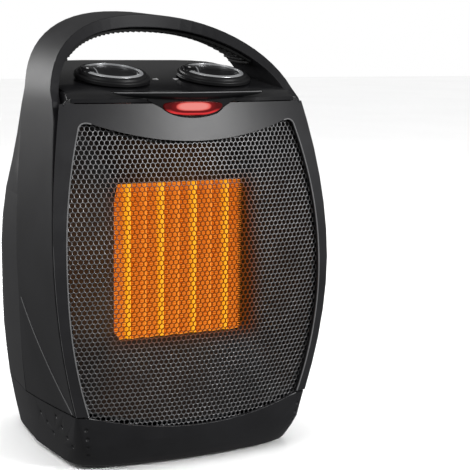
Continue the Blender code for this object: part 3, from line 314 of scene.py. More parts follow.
def soft_rubber():
    """Matt rubber with a dusty bloom and a very fine rough skin."""
    material, shader, place = blank("soft_rubber")
    bloom = node(material, "ShaderNodeTexNoise", Vector=place, Scale=90.0, Detail=5.0)
    colour = ramp(material, bloom.outputs["Fac"], (0.35, grey(0.014)), (0.75, grey(0.030)))
    material.node_tree.links.new(colour, shader.inputs["Base Color"])
    shader.inputs["Roughness"].default_value = 0.72
    skin = node(material, "ShaderNodeTexNoise", Vector=place, Scale=4200.0, Detail=2.0)
    roughen(material, shader, skin.outputs["Fac"], 0.3)
    return material


rubber = soft_rubber()
for corner in ("front_left", "front_right", "rear_left", "rear_right"):
    shell(f"foot_{corner}", f"rubber_foot_{corner}", rubber, 0.0004)
shell("cord_gland", "inlet_gland", rubber, 0.0003)

# Terminal block and tip-over switch: natural and black nylon mouldings that stand on the tray's
# floor. A nylon plunger slides through the floor, and a zinc plated coil spring pushes it down.


def nylon(name, dark, light):
    """Half-matt nylon, a moulded plastic with a coarser grain."""
    return moulded_plastic(name, dark, light, 0.55, 1800.0, 0.25)


def coat(material, *nodes):
    """A CAD node keeps its own shape and takes a finish."""
    for name in nodes:
        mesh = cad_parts[name].data
        mesh.materials.clear()
        mesh.materials.append(material)


white_nylon = nylon("white_nylon", (0.62, 0.60, 0.54), (0.74, 0.72, 0.66))
black_nylon = nylon("black_nylon", grey(0.020), grey(0.034))
coat(white_nylon, "terminal_block")
coat(black_nylon, "tip_over_switch")
shell("tip_over_plunger", "switch_plunger", white_nylon, 0.0002, body="tip_over_plunger")


def drawn_metal(name, dark, light, roughness, along=(1.0, 1.0, 12.0)):
    """Drawn or rolled metal: fine streaks along one way."""
    material, shader, place = blank(name)
    lay = node(material, "ShaderNodeMapping", Vector=place, Scale=along)
    streak = node(material, "ShaderNodeTexNoise", Vector=lay.outputs["Vector"], Scale=320.0, Detail=4.0)
    colour = ramp(material, streak.outputs["Fac"], (0.3, dark), (0.7, light))
    material.node_tree.links.new(colour, shader.inputs["Base Color"])
    shader.inputs["Metallic"].default_value = 1.0
    uneven = node(material, "ShaderNodeMapRange", Value=streak.outputs["Fac"])
    uneven.inputs["To Min"].default_value = roughness - 0.06
    uneven.inputs["To Max"].default_value = roughness + 0.08
    material.node_tree.links.new(uneven.outputs["Result"], shader.inputs["Roughness"])
    roughen(material, shader, streak.outputs["Fac"], 0.15)
    return material


zinc = drawn_metal("zinc_plate", (0.42, 0.42, 0.43), (0.62, 0.62, 0.63), 0.34)
spring_low, spring_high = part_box("tip_over_spring")
spring_middle = (spring_low + spring_high) / 2
WIRE_R = 0.00035
SPRING_TURNS, STEPS_A_TURN = 4, 20
coil = bmesh.new()
ring = bmesh.ops.create_circle(coil, segments=8, radius=WIRE_R)["verts"]
bmesh.ops.rotate(coil, cent=(0, 0, 0), matrix=Matrix.Rotation(pi / 2, 3, "X"), verts=ring)
coil_r = (spring_high.x - spring_low.x) / 2 - WIRE_R
bmesh.ops.translate(
    coil, vec=(spring_middle.x + coil_r, spring_middle.y, spring_low.z + WIRE_R), verts=coil.verts
)
rise = (spring_high.z - spring_low.z - 2 * WIRE_R) / (SPRING_TURNS * STEPS_A_TURN)
bmesh.ops.spin(
    coil, geom=coil.edges[:], cent=(spring_middle.x, spring_middle.y, 0), axis=(0, 0, 1),
    dvec=(0, 0, rise), angle=2 * pi * SPRING_TURNS, steps=SPRING_TURNS * STEPS_A_TURN,
    use_merge=False,
)
bmesh.ops.holes_fill(coil, edges=coil.edges)
bmesh.ops.recalc_face_normals(coil, faces=coil.faces)
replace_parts(settle("plunger_spring", coil, zinc), "tip_over_spring")

# Fan motor: stacked steel stampings round a copper coil, between two zinc plated brackets with
# sintered bronze bushes. The rotor and its shaft turn with the fan.


def stamped_steel():
    """Stack of blued steel sheets, seen as fine lines across the motor's length."""
    material, shader, place = blank("stamped_steel")
    sheets = node(
        material, "ShaderNodeTexWave", Vector=place, bands_direction="Y", Scale=330.0, Distortion=0.2
    )
    colour = ramp(material, sheets.outputs["Fac"], (0.2, (0.10, 0.11, 0.13)), (0.8, (0.26, 0.27, 0.30)))
    material.node_tree.links.new(colour, shader.inputs["Base Color"])
    shader.inputs["Metallic"].default_value = 0.9
    shader.inputs["Roughness"].default_value = 0.45
    roughen(material, shader, sheets.outputs["Fac"], 0.4, 0.0002)
    return material


def wound_copper():
    """Enamelled wire laid side by side."""
    material, shader, place = blank("wound_copper")
    turns = node(
        material, "ShaderNodeTexWave", Vector=place, bands_direction="X", Scale=420.0, Distortion=0.4
    )
    colour = ramp(material, turns.outputs["Fac"], (0.1, (0.25, 0.08, 0.03)), (0.7, (0.72, 0.30, 0.13)))
    material.node_tree.links.new(colour, shader.inputs["Base Color"])
    shader.inputs["Metallic"].default_value = 0.8
    shader.inputs["Roughness"].default_value = 0.30
    roughen(material, shader, turns.outputs["Fac"], 0.6, 0.0003)
    return material


coat(stamped_steel(), "motor_stator", "motor_rotor")
coat(wound_copper(), "motor_coil")
coat(zinc, "motor_front_bracket", "motor_rear_bracket", "fan_shaft", "thermal_cutoff")
coat(
    drawn_metal("sintered_bronze", (0.40, 0.24, 0.10), (0.60, 0.40, 0.20), 0.45, (1.0, 1.0, 1.0)),
    "motor_bearing_front", "motor_bearing_rear",
)

# Fan and its shroud: black glass-filled nylon mouldings. The fan's blades stand on a hub that is
# pressed on the motor's shaft, and turn close inside the shroud's round throat.
shell("fan_impeller", "fan_wheel", black_nylon, 0.0, body="fan", smooth=50.0)
shell("fan_shroud", "fan_throat", black_nylon, 0.0)

# Heating element: four ceramic bars between packs of corrugated aluminium strip, glowing hot, in
# a black nylon frame. Thin dividers stand between neighbouring packs, and a funnel-shaped nylon
# duct runs from the frame forward to the grille.
FIN_PITCH = 0.00128
FOIL_WALL = 0.00030
EDGE_HEAT_DEPTH = 0.0016  # how far back the brighter front edge reaches


def glow(name, cold, dim, bright, edge, strength, grain):
    """Hot metal or ceramic: brighter at its front edge, uneven along its length."""
    material, shader, place = blank(name)
    shader.inputs["Base Color"].default_value = (*cold, 1.0)
    shader.inputs["Roughness"].default_value = 0.6
    uneven = node(material, "ShaderNodeTexNoise", Vector=place, Scale=grain, Detail=5.0, Roughness=0.65)
    heat = ramp(material, uneven.outputs["Fac"], (0.36, dim), (0.62, bright))
    depth = node(material, "ShaderNodeSeparateXYZ", Vector=place).outputs["Y"]
    near = node(material, "ShaderNodeMapRange", Value=depth)
    near.inputs["From Min"].default_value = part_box("ptc_bar_1")[0].y
    near.inputs["From Max"].default_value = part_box("ptc_bar_1")[0].y + EDGE_HEAT_DEPTH
    near.inputs["To Min"].default_value = 1.0
    near.inputs["To Max"].default_value = 0.0
    lit = node(material, "ShaderNodeMix", data_type="RGBA", _0=near.outputs["Result"])
    material.node_tree.links.new(heat, lit.inputs[6])
    lit.inputs[7].default_value = (*edge, 1.0)
    material.node_tree.links.new(lit.outputs[2], shader.inputs["Emission Color"])
    shader.inputs["Emission Strength"].default_value = strength
    return material


hot_fin = glow(
    "hot_aluminium", (0.20, 0.03, 0.005), (0.44, 0.055, 0.001), (0.64, 0.11, 0.002),
    (1.0, 0.33, 0.035), 1.0, 260.0,
)
hot_bar = glow(
    "hot_ceramic", (0.6, 0.3, 0.03), (0.86, 0.29, 0.003), (1.0, 0.41, 0.010),
    (1.0, 0.40, 0.010), 1.0, 120.0,
)
hot_divider = glow(
    "hot_divider", (0.5, 0.15, 0.03), (0.66, 0.12, 0.003), (0.86, 0.24, 0.02),
    (0.90, 0.27, 0.02), 1.0, 900.0,
)
for number in range(1, 9):
    low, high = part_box(f"fin_pack_{number}")
    teeth = round((high.z - low.z) / FIN_PITCH)
    foil = bmesh.new()
    bmesh.ops.create_grid(foil, x_segments=2 * teeth, y_segments=2, size=0.5)
    bmesh.ops.rotate(foil, cent=(0, 0, 0), matrix=Matrix.Rotation(-pi / 2, 3, "Y"), verts=foil.verts)
    for vert in foil.verts:
        along = vert.co.z + 0.5
        fold = round(along * 2 * teeth) % 2
        vert.co = (
            low.x + FOIL_WALL + (high.x - low.x - 2 * FOIL_WALL) * fold,
            low.y + (high.y - low.y) * (vert.co.y + 0.5),
            low.z + (high.z - low.z) * along,
        )
    strip = settle(f"fin_strip_{number}", foil, hot_fin, smooth=20.0)
    wall = strip.modifiers.new("foil_wall", "SOLIDIFY")
    wall.thickness = FOIL_WALL
    wall.offset = 0.0
    strip.visible_diffuse = False
    strip.visible_glossy = False
    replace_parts(strip, f"fin_pack_{number}")
for number in range(1, 5):
    bar = shell(f"ptc_bar_{number}", f"ceramic_bar_{number}", hot_bar, 0.0004)
    bar.visible_diffuse = False
for number in range(1, 4):
    divider = shell(
        f"element_divider_{number}", f"fin_divider_{number}", hot_divider, 0.0001
    )
    divider.visible_diffuse = False
shell("element_frame", "nylon_element_frame", black_nylon, 0.0004)
shell("air_duct", "black_air_duct", black_nylon, 0.0, smooth=40.0)

# Grille: one bowed sheet of black painted steel, punched with close hexagonal holes. It is
# trapped behind the edge of the bezel, and the bars of metal between its holes are very thin.
HOLE_PITCH = 0.0030
WEB = 0.00044  # metal left between two holes
SHEET_WALL = 0.0007
SHEET_BACK = 0.0033  # from the body's bowed front back to the sheet
HALF_WIDTH, WIDEST_Z, SEAM_Z = 0.0876, 0.124, 0.034
FOOT_NARROWING, SHOULDER_NARROWING, SIDE_POWER = 0.0133, 0.0101, 1.9
SHOULDER_Z, FLANK_Z, FRONT_DEPTH = 0.210, 0.095, 0.068
SHOULDER_LEAN, LEAN_POWER, FOOT_TUCK = 0.0182, 1.8, 0.0026
BOW = 0.0095  # how far the middle of the front stands ahead of its corners
OPENING_TOP_Z = SHOULDER_Z - 0.0092
OPENING_HALF_TOP, OPENING_HALF_MID, OPENING_POWER = 0.0675, 0.0808, 2.1
SHIELD_SAG, CHIN_SAG = 0.0123, 0.0095  # how far the opening's top and bottom edges bow down
TUCKED = 0.0016  # how far the sheet reaches behind the opening's edge


def share(value, start, end):
    """How far a value has come from the start to the end, from 0 to 1."""
    return min(max((value - start) / (end - start), 0.0), 1.0)


def corner_half(z):
    """Half width at the front corner of the body."""
    if z < WIDEST_Z:
        low_down = share(WIDEST_Z - z, 0.0, WIDEST_Z - SEAM_Z)
        return HALF_WIDTH - FOOT_NARROWING * low_down**SIDE_POWER
    return HALF_WIDTH - SHOULDER_NARROWING * share(z, WIDEST_Z, SHOULDER_Z) ** SIDE_POWER


def corner_y(z):
    """Depth of the body's front corner, which leans back towards the shoulder."""
    lean = SHOULDER_LEAN * share(z, FLANK_Z, SHOULDER_Z) ** LEAN_POWER
    tuck = FOOT_TUCK * share(FLANK_Z - z, 0.0, FLANK_Z - SEAM_Z) ** 2
    return -FRONT_DEPTH + lean + tuck + shift


def front_y(x, z):
    """Depth of the bowed front of the heater."""
    return corner_y(z) - BOW * (1.0 - (x / corner_half(z)) ** 2)


def opening_half(z):
    """Half width of the opening."""
    middle = (SEAM_Z + OPENING_TOP_Z) / 2
    off = min(abs(z - middle) / (OPENING_TOP_Z - middle), 1.0)
    return OPENING_HALF_MID - (OPENING_HALF_MID - OPENING_HALF_TOP) * off**OPENING_POWER


def shield_z(x):
    """Height of the opening's top edge."""
    return OPENING_TOP_Z - SHIELD_SAG * (1.0 - (x / OPENING_HALF_TOP) ** 2)


def chin_z(x):
    """Height of the opening's bottom edge."""
    return SEAM_Z - CHIN_SAG * (1.0 - min(abs(x) / OPENING_HALF_TOP, 1.0) ** 2)


def in_opening(x, z, over):
    """Whether a spot lies in the opening, or up to a margin beyond its edge."""
    beside = abs(x) < opening_half(min(max(z, SEAM_Z), OPENING_TOP_Z)) + over
    return beside and chin_z(x) - over < z < shield_z(min(abs(x), OPENING_HALF_TOP)) + over


mesh_sheet = bmesh.new()
cell_r = HOLE_PITCH / 3**0.5
row_pitch = 1.5 * cell_r
DOUBLINGS = 6  # doubled this often, a row has 64 cells
bmesh.ops.create_circle(mesh_sheet, cap_ends=True, segments=6, radius=cell_r)
bmesh.ops.inset_individual(mesh_sheet, faces=mesh_sheet.faces, thickness=WEB / 2, use_even_offset=True)
hole = [face for face in mesh_sheet.faces if len(face.verts) == 6]
bmesh.ops.delete(mesh_sheet, geom=hole, context="FACES")


def grown_verts(result):
    """The vertices among what a mesh operation made."""
    return [item for item in result["geom"] if isinstance(item, bmesh.types.BMVert)]


def copy_sheet(step):
    """Copy all of the sheet so far, moved on by a step."""
    everything = mesh_sheet.verts[:] + mesh_sheet.edges[:] + mesh_sheet.faces[:]
    copied = bmesh.ops.duplicate(mesh_sheet, geom=everything)
    bmesh.ops.translate(mesh_sheet, vec=step, verts=grown_verts(copied))


for power in range(DOUBLINGS):
    copy_sheet(Vector((HOLE_PITCH, 0, 0)) * 2**power)
copy_sheet((HOLE_PITCH / 2, row_pitch, 0))
for power in range(DOUBLINGS):
    copy_sheet(Vector((0, 2 * row_pitch, 0)) * 2**power)
upright = Matrix.Rotation(pi / 2, 3, "X")
bmesh.ops.rotate(mesh_sheet, cent=(0, 0, 0), matrix=upright, verts=mesh_sheet.verts)
middle_cell = (2**DOUBLINGS - 1) / 2
bmesh.ops.translate(
    mesh_sheet, vec=(-middle_cell * HOLE_PITCH, 0, chin_z(0.0) - row_pitch), verts=mesh_sheet.verts
)
outside_faces = []
for face in mesh_sheet.faces:
    middle = face.calc_center_median()
    if not in_opening(middle.x, middle.z, TUCKED):
        outside_faces.append(face)
bmesh.ops.delete(mesh_sheet, geom=outside_faces, context="FACES")
bmesh.ops.remove_doubles(mesh_sheet, verts=mesh_sheet.verts, dist=0.00004)
for vert in mesh_sheet.verts:
    vert.co.y = front_y(vert.co.x, vert.co.z) + SHEET_BACK
bmesh.ops.recalc_face_normals(mesh_sheet, faces=mesh_sheet.faces)

# middle and half sizes of the patch of painted warm glow on the sheet in front of the element, and its
# soft border
GLOW_MIDDLE_X, GLOW_RAISED = -0.0085, 0.0036
GLOW_HALF_X, GLOW_HALF_Z, GLOW_FADE = 0.0370, 0.0380, 0.0150


def painted_mesh():
    """Grey-black satin paint, with a warm glow painted on where the element is behind it."""
    material, shader, place = blank("painted_mesh")
    patch = node(material, "ShaderNodeTexNoise", Vector=place, Scale=60.0, Detail=4.0)
    paint = ramp(
        material, patch.outputs["Fac"], (0.3, grey(0.22, 0.006)), (0.7, grey(0.34, 0.008))
    )
    shader.inputs["Metallic"].default_value = 0.7
    shader.inputs["Roughness"].default_value = 0.36
    coat_grain = node(material, "ShaderNodeTexNoise", Vector=place, Scale=2500.0, Detail=2.0)
    roughen(material, shader, coat_grain.outputs["Fac"], 0.2)
    low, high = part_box("element_frame")
    middle_z = (low.z + high.z) / 2 + GLOW_RAISED
    apart = node(material, "ShaderNodeSeparateXYZ", Vector=place)
    lit = []
    for axis, middle, half in (("X", GLOW_MIDDLE_X, GLOW_HALF_X), ("Z", middle_z, GLOW_HALF_Z)):
        off = node(material, "ShaderNodeMath", operation="SUBTRACT", _0=apart.outputs[axis], _1=middle)
        off = node(material, "ShaderNodeMath", operation="ABSOLUTE", _0=off.outputs[0])
        near = node(
            material, "ShaderNodeMapRange", interpolation_type="SMOOTHSTEP", Value=off.outputs[0]
        )
        near.inputs["From Min"].default_value = half
        near.inputs["From Max"].default_value = half + GLOW_FADE
        near.inputs["To Min"].default_value = 1.0
        near.inputs["To Max"].default_value = 0.0
        lit.append(near.outputs["Result"])
    painted_glow_mask = node(material, "ShaderNodeMath", operation="MULTIPLY", _0=lit[0], _1=lit[1])
    # inside the patch the paint turns a dark warm brown and glows faintly: painted light from the
    # element behind
    seen = node(material, "ShaderNodeMix", data_type="RGBA", _0=painted_glow_mask.outputs[0])
    material.node_tree.links.new(paint, seen.inputs[6])
    seen.inputs[7].default_value = (0.03, 0.008, 0.001, 1.0)
    material.node_tree.links.new(seen.outputs[2], shader.inputs["Base Color"])
    painted_warm_glow = ramp(
        material, painted_glow_mask.outputs[0], (0.0, (0, 0, 0)), (0.4, (0.040, 0.009, 0.0005)),
        (1.0, (0.15, 0.030, 0.001)),
    )
    material.node_tree.links.new(painted_warm_glow, shader.inputs["Emission Color"])
    shader.inputs["Emission Strength"].default_value = 1.0
    return material


honeycomb = settle("honeycomb_grille", mesh_sheet, painted_mesh(), smooth=30.0)
if honeycomb.data.polygons[0].normal.y > 0:
    honeycomb.data.flip_normals()
wall = honeycomb.modifiers.new("sheet_wall", "SOLIDIFY")
wall.thickness = SHEET_WALL
wall.offset = -1.0
honeycomb.visible_diffuse = False
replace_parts(honeycomb, "front_grille")

# Bezel: the satin black moulded frame round the grille, which fills the front of the body. A raised
# bead runs down both sides of its opening, coloured light grey as a painted highlight.
satin_black = moulded_plastic(
    "moulded_satin_black", grey(0.022, 0.002), grey(0.032, 0.003), 0.36, 3200.0, 0.22
)
shell("front_bezel", "bezel_frame", satin_black, 0.0005)


def bead(name, runs, radius, material, body="root"):
    """Round beads along runs of points, as one mesh."""
    path = bpy.data.curves.new(name, "CURVE")
    path.dimensions = "3D"
    path.bevel_depth = radius
    path.bevel_resolution = 2
    path.use_fill_caps = True
    for run in runs:
        spline = path.splines.new("POLY")
        spline.points.add(len(run) - 1)
        for point, at in zip(spline.points, run):
            point.co = (*at, 1.0)
    drawn = bpy.data.objects.new(name + "_path", path)
    scene.collection.objects.link(drawn)
    graph = bpy.context.evaluated_depsgraph_get()
    maker = bmesh.new()
    flat = bpy.data.meshes.new_from_object(drawn.evaluated_get(graph))
    maker.from_mesh(flat)
    bpy.data.objects.remove(drawn)
    bpy.data.meshes.remove(flat)
    bmesh.ops.recalc_face_normals(maker, faces=maker.faces)
    return settle(name, maker, material, body, 40.0)


# light grey satin for the thin beads below: a painted highlight for light caught on rounded edges of
# black plastic
painted_highlight_grey = moulded_plastic("lip_satin_painted_highlight", grey(0.28, 0.006), grey(0.36, 0.006), 0.26, 2400.0, 0.1)
LIP_R = 0.00042
LIP_FOOT, LIP_CORNER, LIP_OUT = 0.001, 0.006, 0.0008
for name, side in (("bezel_lip_left", -1), ("bezel_lip_right", 1)):
    run = []
    for step in range(33):
        z = SEAM_Z + LIP_FOOT + (OPENING_TOP_Z - LIP_CORNER - SEAM_Z - LIP_FOOT) * step / 32
        run.append((side * opening_half(z), front_y(opening_half(z), z), z))
    start = Vector((run[-1][0], run[-1][2]))
    corner = Vector((side * (OPENING_HALF_TOP + LIP_OUT), OPENING_TOP_Z))
    end_x = OPENING_HALF_TOP - LIP_CORNER
    end = Vector((side * end_x, shield_z(end_x)))
    for step in range(1, 9):
        part = step / 8
        spot = start.lerp(corner, part).lerp(corner.lerp(end, part), part)
        run.append((spot.x, front_y(spot.x, spot.y), spot.y))
    bead(name, [run], LIP_R, painted_highlight_grey)

# Chin and corner lips: thin rounded edges moulded along the rim of the tray's chin and up the lower
# half of the bezel's two front corners, coloured light grey as painted highlight lines. Each is partly
# sunk in the moulding it stands on.
CHIN_LIP_R, CORNER_LIP_R = 0.00028, 0.00034
CHIN_LIP_IN, CHIN_LIP_DOWN = 0.0005, 0.0002
CORNER_LIP_FOOT, CORNER_LIP_LENGTH = 0.0008, 0.098
CORNER_LIP_IN, CORNER_LIP_BACK = 0.0004, 0.0006
chin_run = []
for step in range(41):
    x = OPENING_HALF_TOP * (step / 20 - 1)
    chin_run.append((x, front_y(x, SEAM_Z) + CHIN_LIP_IN, chin_z(x) - CHIN_LIP_DOWN))
bead("chin_lip", [chin_run], CHIN_LIP_R, painted_highlight_grey)
corner_runs = []
for side in (-1, 1):
    run = []
    for step in range(25):
        z = SEAM_Z + CORNER_LIP_FOOT + CORNER_LIP_LENGTH * step / 24
        run.append((side * (corner_half(z) - CORNER_LIP_IN), corner_y(z) + CORNER_LIP_BACK, z))
    corner_runs.append(run)
bead("bezel_corner_lips", corner_runs, CORNER_LIP_R, painted_highlight_grey)

# Handle: one black plastic moulding of two side bands and the arch over the top. A soft rubber
# grip with cross ribs is pressed in under the arch.
shell("carry_handle", "handle_moulding", shell_black, 0.0006)
shell("handle_grip", "grip_strip", rubber, 0.0004)
ARCH_HALF, ARCH_POWER, ARCH_DEPTH = 0.0805, 2.2, 0.0425
CROWN_Z, SPRING_Z = 0.260, 0.200
ARCH_FRONT_Y, ARCH_LEAN, ARCH_CURL = -0.038, 0.68, 8.5
ARCH_FOOT_Z, HANDLE_TOP_Z = SHOULDER_Z + 0.006, 0.2624
WALL_FOOT, WALL_GAIN = 0.0055, 0.0025
THIN_FROM, THIN_TO, THINNING, THIN_PART = SHOULDER_Z + 0.022, SHOULDER_Z + 0.032, 0.70, 0.3
GRIP_WALL, RIB_SUNK = 0.0016, 0.0006


def arch_spot(turn):
    """Spot and outward direction on the arch, by the angle from one springing to the other."""
    across = abs(cos(turn)) ** (2 / ARCH_POWER)
    high = sin(turn) ** (2 / ARCH_POWER)
    rise = CROWN_Z - SPRING_Z
    out = Vector((across ** (ARCH_POWER - 1) / ARCH_HALF, high ** (ARCH_POWER - 1) / rise))
    out.normalize()
    side = 1 if cos(turn) > 0 else -1
    return side * ARCH_HALF * across, SPRING_Z + rise * high, Vector((side * out.x, out.y))


def arch_front(z):
    """Depth of the arch's front edge, which leans back as it rises."""
    over = max(z - SHOULDER_Z - 0.006, 0.0)
    return ARCH_FRONT_Y + ARCH_LEAN * over + ARCH_CURL * over**2 + shift


def grip_depth(z, part):
    """From the arch's outer line in to the grip's face."""
    wall = WALL_FOOT + WALL_GAIN * share(z, ARCH_FOOT_Z, HANDLE_TOP_Z) ** 2
    thinned = THINNING * share(z, THIN_FROM, THIN_TO) * share(part, THIN_PART, 1.0)
    return wall * (1 - thinned) + RIB_SUNK + GRIP_WALL


RIB_R = 0.0008
RIB_PITCH = 0.0036
RIB_START = radians(36.0)
RIB_PARTS = (0.14, 0.4, 0.6, 0.78)  # shares of the arch's depth that a rib runs through
SEARCH_STEPS = 400  # the arch is walked in this many steps to space the ribs evenly
grip_ribs = []
previous = None
for step in range(SEARCH_STEPS):
    turn = RIB_START + (pi - 2 * RIB_START) * step / (SEARCH_STEPS - 1)
    x, z, out = arch_spot(turn)
    if previous is not None and (Vector((x, z)) - previous).length < RIB_PITCH:
        continue
    previous = Vector((x, z))
    run = []
    for part in RIB_PARTS:
        under = grip_depth(z, part)
        run.append((x - out.x * under, arch_front(z) + ARCH_DEPTH * part, z - out.y * under))
    grip_ribs.append(run)
bead("grip_ribs", grip_ribs, RIB_R, rubber)

# Ridges: a raised crease moulded on each side band of the handle. It climbs from the foot of the band's
# front edge, just over the seam, back to the band's rear edge, and is coloured light grey as a painted
# highlight.
RIDGE_R, RIDGE_PROUD, RIDGE_FOOT = 0.00036, 0.00012, 0.0012
BAND_BEHIND_CORNER = 0.0025  # from the body's front corner back to the band's front edge
BAND_REAR_Y, BAND_REAR_SPREAD = -0.004, 0.010  # the band's rear edge, and how far its foot runs back
RIDGE_IN, RIDGE_SHORT = 0.002, 0.006  # how far the ridge keeps off the edges
ridge_runs = []
for side in (-1, 1):
    run = []
    for step in range(25):
        z = SEAM_Z + RIDGE_FOOT + (FLANK_Z - SEAM_Z - RIDGE_FOOT) * step / 24
        rising = share(z, SEAM_Z, FLANK_Z)
        front = corner_y(z) - shift + BAND_BEHIND_CORNER
        rear = BAND_REAR_SPREAD * (1.0 - rising) + BAND_REAR_Y
        y = front + RIDGE_IN + (rear - front - RIDGE_SHORT) * rising + shift
        run.append((side * (corner_half(z) + RIDGE_PROUD), y, z))
    ridge_runs.append(run)
bead("band_ridges", ridge_runs, RIDGE_R, painted_highlight_grey)

# Rear moulding: black plastic flanks, rounded shoulders and a back with a round field of intake
# slots, in one piece. Four zinc plated screws hold it to the front.
shell("rear_shell", "rear_moulding", shell_black, 0.0004)
for number in range(1, 5):
    shell(f"rear_screw_{number}", f"case_screw_{number}", zinc, 0.0002, smooth=50.0)

# Control panel: a glossy black moulded cover that slopes up to the back, with the two switches
# under it, a cheek that closes each end against the handle's leg, and two white index marks.
gloss_black = moulded_plastic(
    "moulded_gloss_black", grey(0.010, 0.001), grey(0.016, 0.002), 0.22, 2400.0, 0.12
)
shell("control_panel", "panel_cover", gloss_black, 0.0004)
coat(white_nylon, "mode_switch_body", "thermostat_body")
PANEL_TILT = radians(12.0)
CREASE_Y, CREASE_RISE = -0.044, 0.0068  # where the panel's slope starts, and how high
white_ink = nylon("white_ink", (0.80, 0.80, 0.80), (0.90, 0.90, 0.90))


def panel_place(x, y):
    """A place on the panel's top, its Z axis square to the panel."""
    z = SHOULDER_Z + CREASE_RISE + tan(PANEL_TILT) * (y - CREASE_Y)
    return Matrix.Translation((x, y + shift, z)) @ Matrix.Rotation(PANEL_TILT, 4, "X")


CHEEK_BACK_Y, CHEEK_CLEAR = -0.034, 0.0004
LEG_INSIDE, LEG_LEAN = 0.0743, 0.33  # the leg's inner face at the shoulder, and how it leans in
CHEEK_WING = 0.0762  # ahead of the leg the cheek reaches under the strap's edge
CHEEK_LOW, CHEEK_WALL = 0.0015, 0.0012
panel_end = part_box("control_panel")[1].x - 0.0008
for name, side in (("panel_cheek_left", -1), ("panel_cheek_right", 1)):
    cheek = bmesh.new()
    front = front_y(panel_end, SHOULDER_Z) + 0.0006
    outline = (
        (front, SHOULDER_Z - CHEEK_LOW), (front + 0.0003, SHOULDER_Z + 0.0022),
        (CREASE_Y - 0.0030 + shift, SHOULDER_Z + 0.0042), (CREASE_Y + shift, SHOULDER_Z + 0.0058),
        (CHEEK_BACK_Y + shift, SHOULDER_Z + 0.0060), (CHEEK_BACK_Y + shift, SHOULDER_Z - CHEEK_LOW),
        (front + 0.0075, SHOULDER_Z - CHEEK_LOW), (front + 0.0065, SHOULDER_Z - CHEEK_LOW),
    )
    inner_x = side * (panel_end - CHEEK_WALL)
    plate = cheek.faces.new([cheek.verts.new((inner_x, y, z)) for y, z in outline])
    for vert in grown_verts(bmesh.ops.extrude_face_region(cheek, geom=[plate])):
        reach = LEG_INSIDE - LEG_LEAN * (vert.co.z - SHOULDER_Z) - CHEEK_CLEAR
        if vert.co.z < SHOULDER_Z and vert.co.y < front + 0.0070:
            reach = CHEEK_WING
        vert.co.x = side * reach
    bmesh.ops.recalc_face_normals(cheek, faces=cheek.faces)
    round_edges(settle(name, cheek, gloss_black), 0.0003)

MARK_R, MARK_WALL, MARK_Y = 0.0022, 0.00025, -0.0200
for name, x, heading in (
    ("index_mark_left", -0.0052, pi / 2), ("index_mark_right", 0.0078, -pi / 2),
):
    mark = bmesh.new()
    bmesh.ops.create_circle(mark, cap_ends=True, segments=3, radius=MARK_R)
    bmesh.ops.scale(mark, vec=(0.75, 1.0, 1.0), verts=mark.verts)
    raised = grown_verts(bmesh.ops.extrude_face_region(mark, geom=mark.faces[:]))
    bmesh.ops.translate(mark, vec=(0, 0, MARK_WALL), verts=raised)
    towards_knob = Matrix.Rotation(heading, 3, "Z")
    bmesh.ops.rotate(mark, cent=(0, 0, 0), matrix=towards_knob, verts=mark.verts)
    bmesh.ops.transform(mark, matrix=panel_place(x, MARK_Y), verts=mark.verts)
    bmesh.ops.recalc_face_normals(mark, faces=mark.faces)
    settle(name, mark, white_ink, smooth=30.0)

# Visor: a thin black crescent that stands out over the lens, moulded on the panel's front edge. Its rim
# is a bead coloured light grey, a painted highlight line.
VISOR_HALF, VISOR_NOSE, VISOR_DROP, VISOR_RISE = 0.048, 0.0030, 0.0036, 0.0058
VISOR_WALL, RIM_R = 0.0005, 0.0003
VISOR_ROOT_IN, VISOR_ROOT_UP = 0.0030, 0.0006  # where its back edge is sunk in the panel
VISOR_EDGE_IN, RIM_OUT, VISOR_CURL, VISOR_CLEAR = 0.0008, 0.0010, 0.0024, 0.0002
visor = bmesh.new()
bmesh.ops.create_grid(visor, x_segments=32, y_segments=2, size=0.5)
for vert in visor.verts:
    x = 2 * VISOR_HALF * vert.co.x
    swell = max(1.0 - (x / VISOR_HALF) ** 2, 0.0)
    face = front_y(x, SHOULDER_Z)
    row = round(vert.co.y + 0.5, 1)
    level = SHOULDER_Z + VISOR_RISE
    if row > 0.9:
        vert.co = (x, face + VISOR_ROOT_IN, level + VISOR_ROOT_UP)
    elif row > 0.4:
        nose = (VISOR_NOSE + VISOR_EDGE_IN) * swell**0.7
        vert.co = (x, face + VISOR_EDGE_IN - nose, level)
    else:
        drop = VISOR_DROP * swell**0.6
        vert.co = (x, face + VISOR_CLEAR - VISOR_CURL * swell**2, level - VISOR_CLEAR - drop)
bmesh.ops.recalc_face_normals(visor, faces=visor.faces)
visor_piece = settle("panel_visor", visor, gloss_black, smooth=30.0)
wall = visor_piece.modifiers.new("visor_wall", "SOLIDIFY")
wall.thickness = VISOR_WALL
wall.offset = 0.0
visor_line = []
for step in range(25):
    x = VISOR_HALF * 0.98 * (step / 12 - 1)
    swell = 1.0 - (x / VISOR_HALF) ** 2
    y = front_y(x, SHOULDER_Z) + VISOR_EDGE_IN - (VISOR_NOSE + RIM_OUT) * swell**0.7
    visor_line.append((x, y, SHOULDER_Z + VISOR_RISE))
bead("visor_edge", [visor_line], RIM_R, painted_highlight_grey)

# Lens housing, lens and lamp: a glossy black moulded frame, a clear red plastic lens set in it, and the
# neon lamp behind the lens, which is lit. The lamp's light on the lens is painted on the lens as glow.
shell("lens_housing", "lens_frame", gloss_black, 0.0003)
LENS_PATCH = Vector((0.0112, 0.0025))  # half sizes of the patch of painted lamp light
PATCH_BELOW_TOP = 0.0028


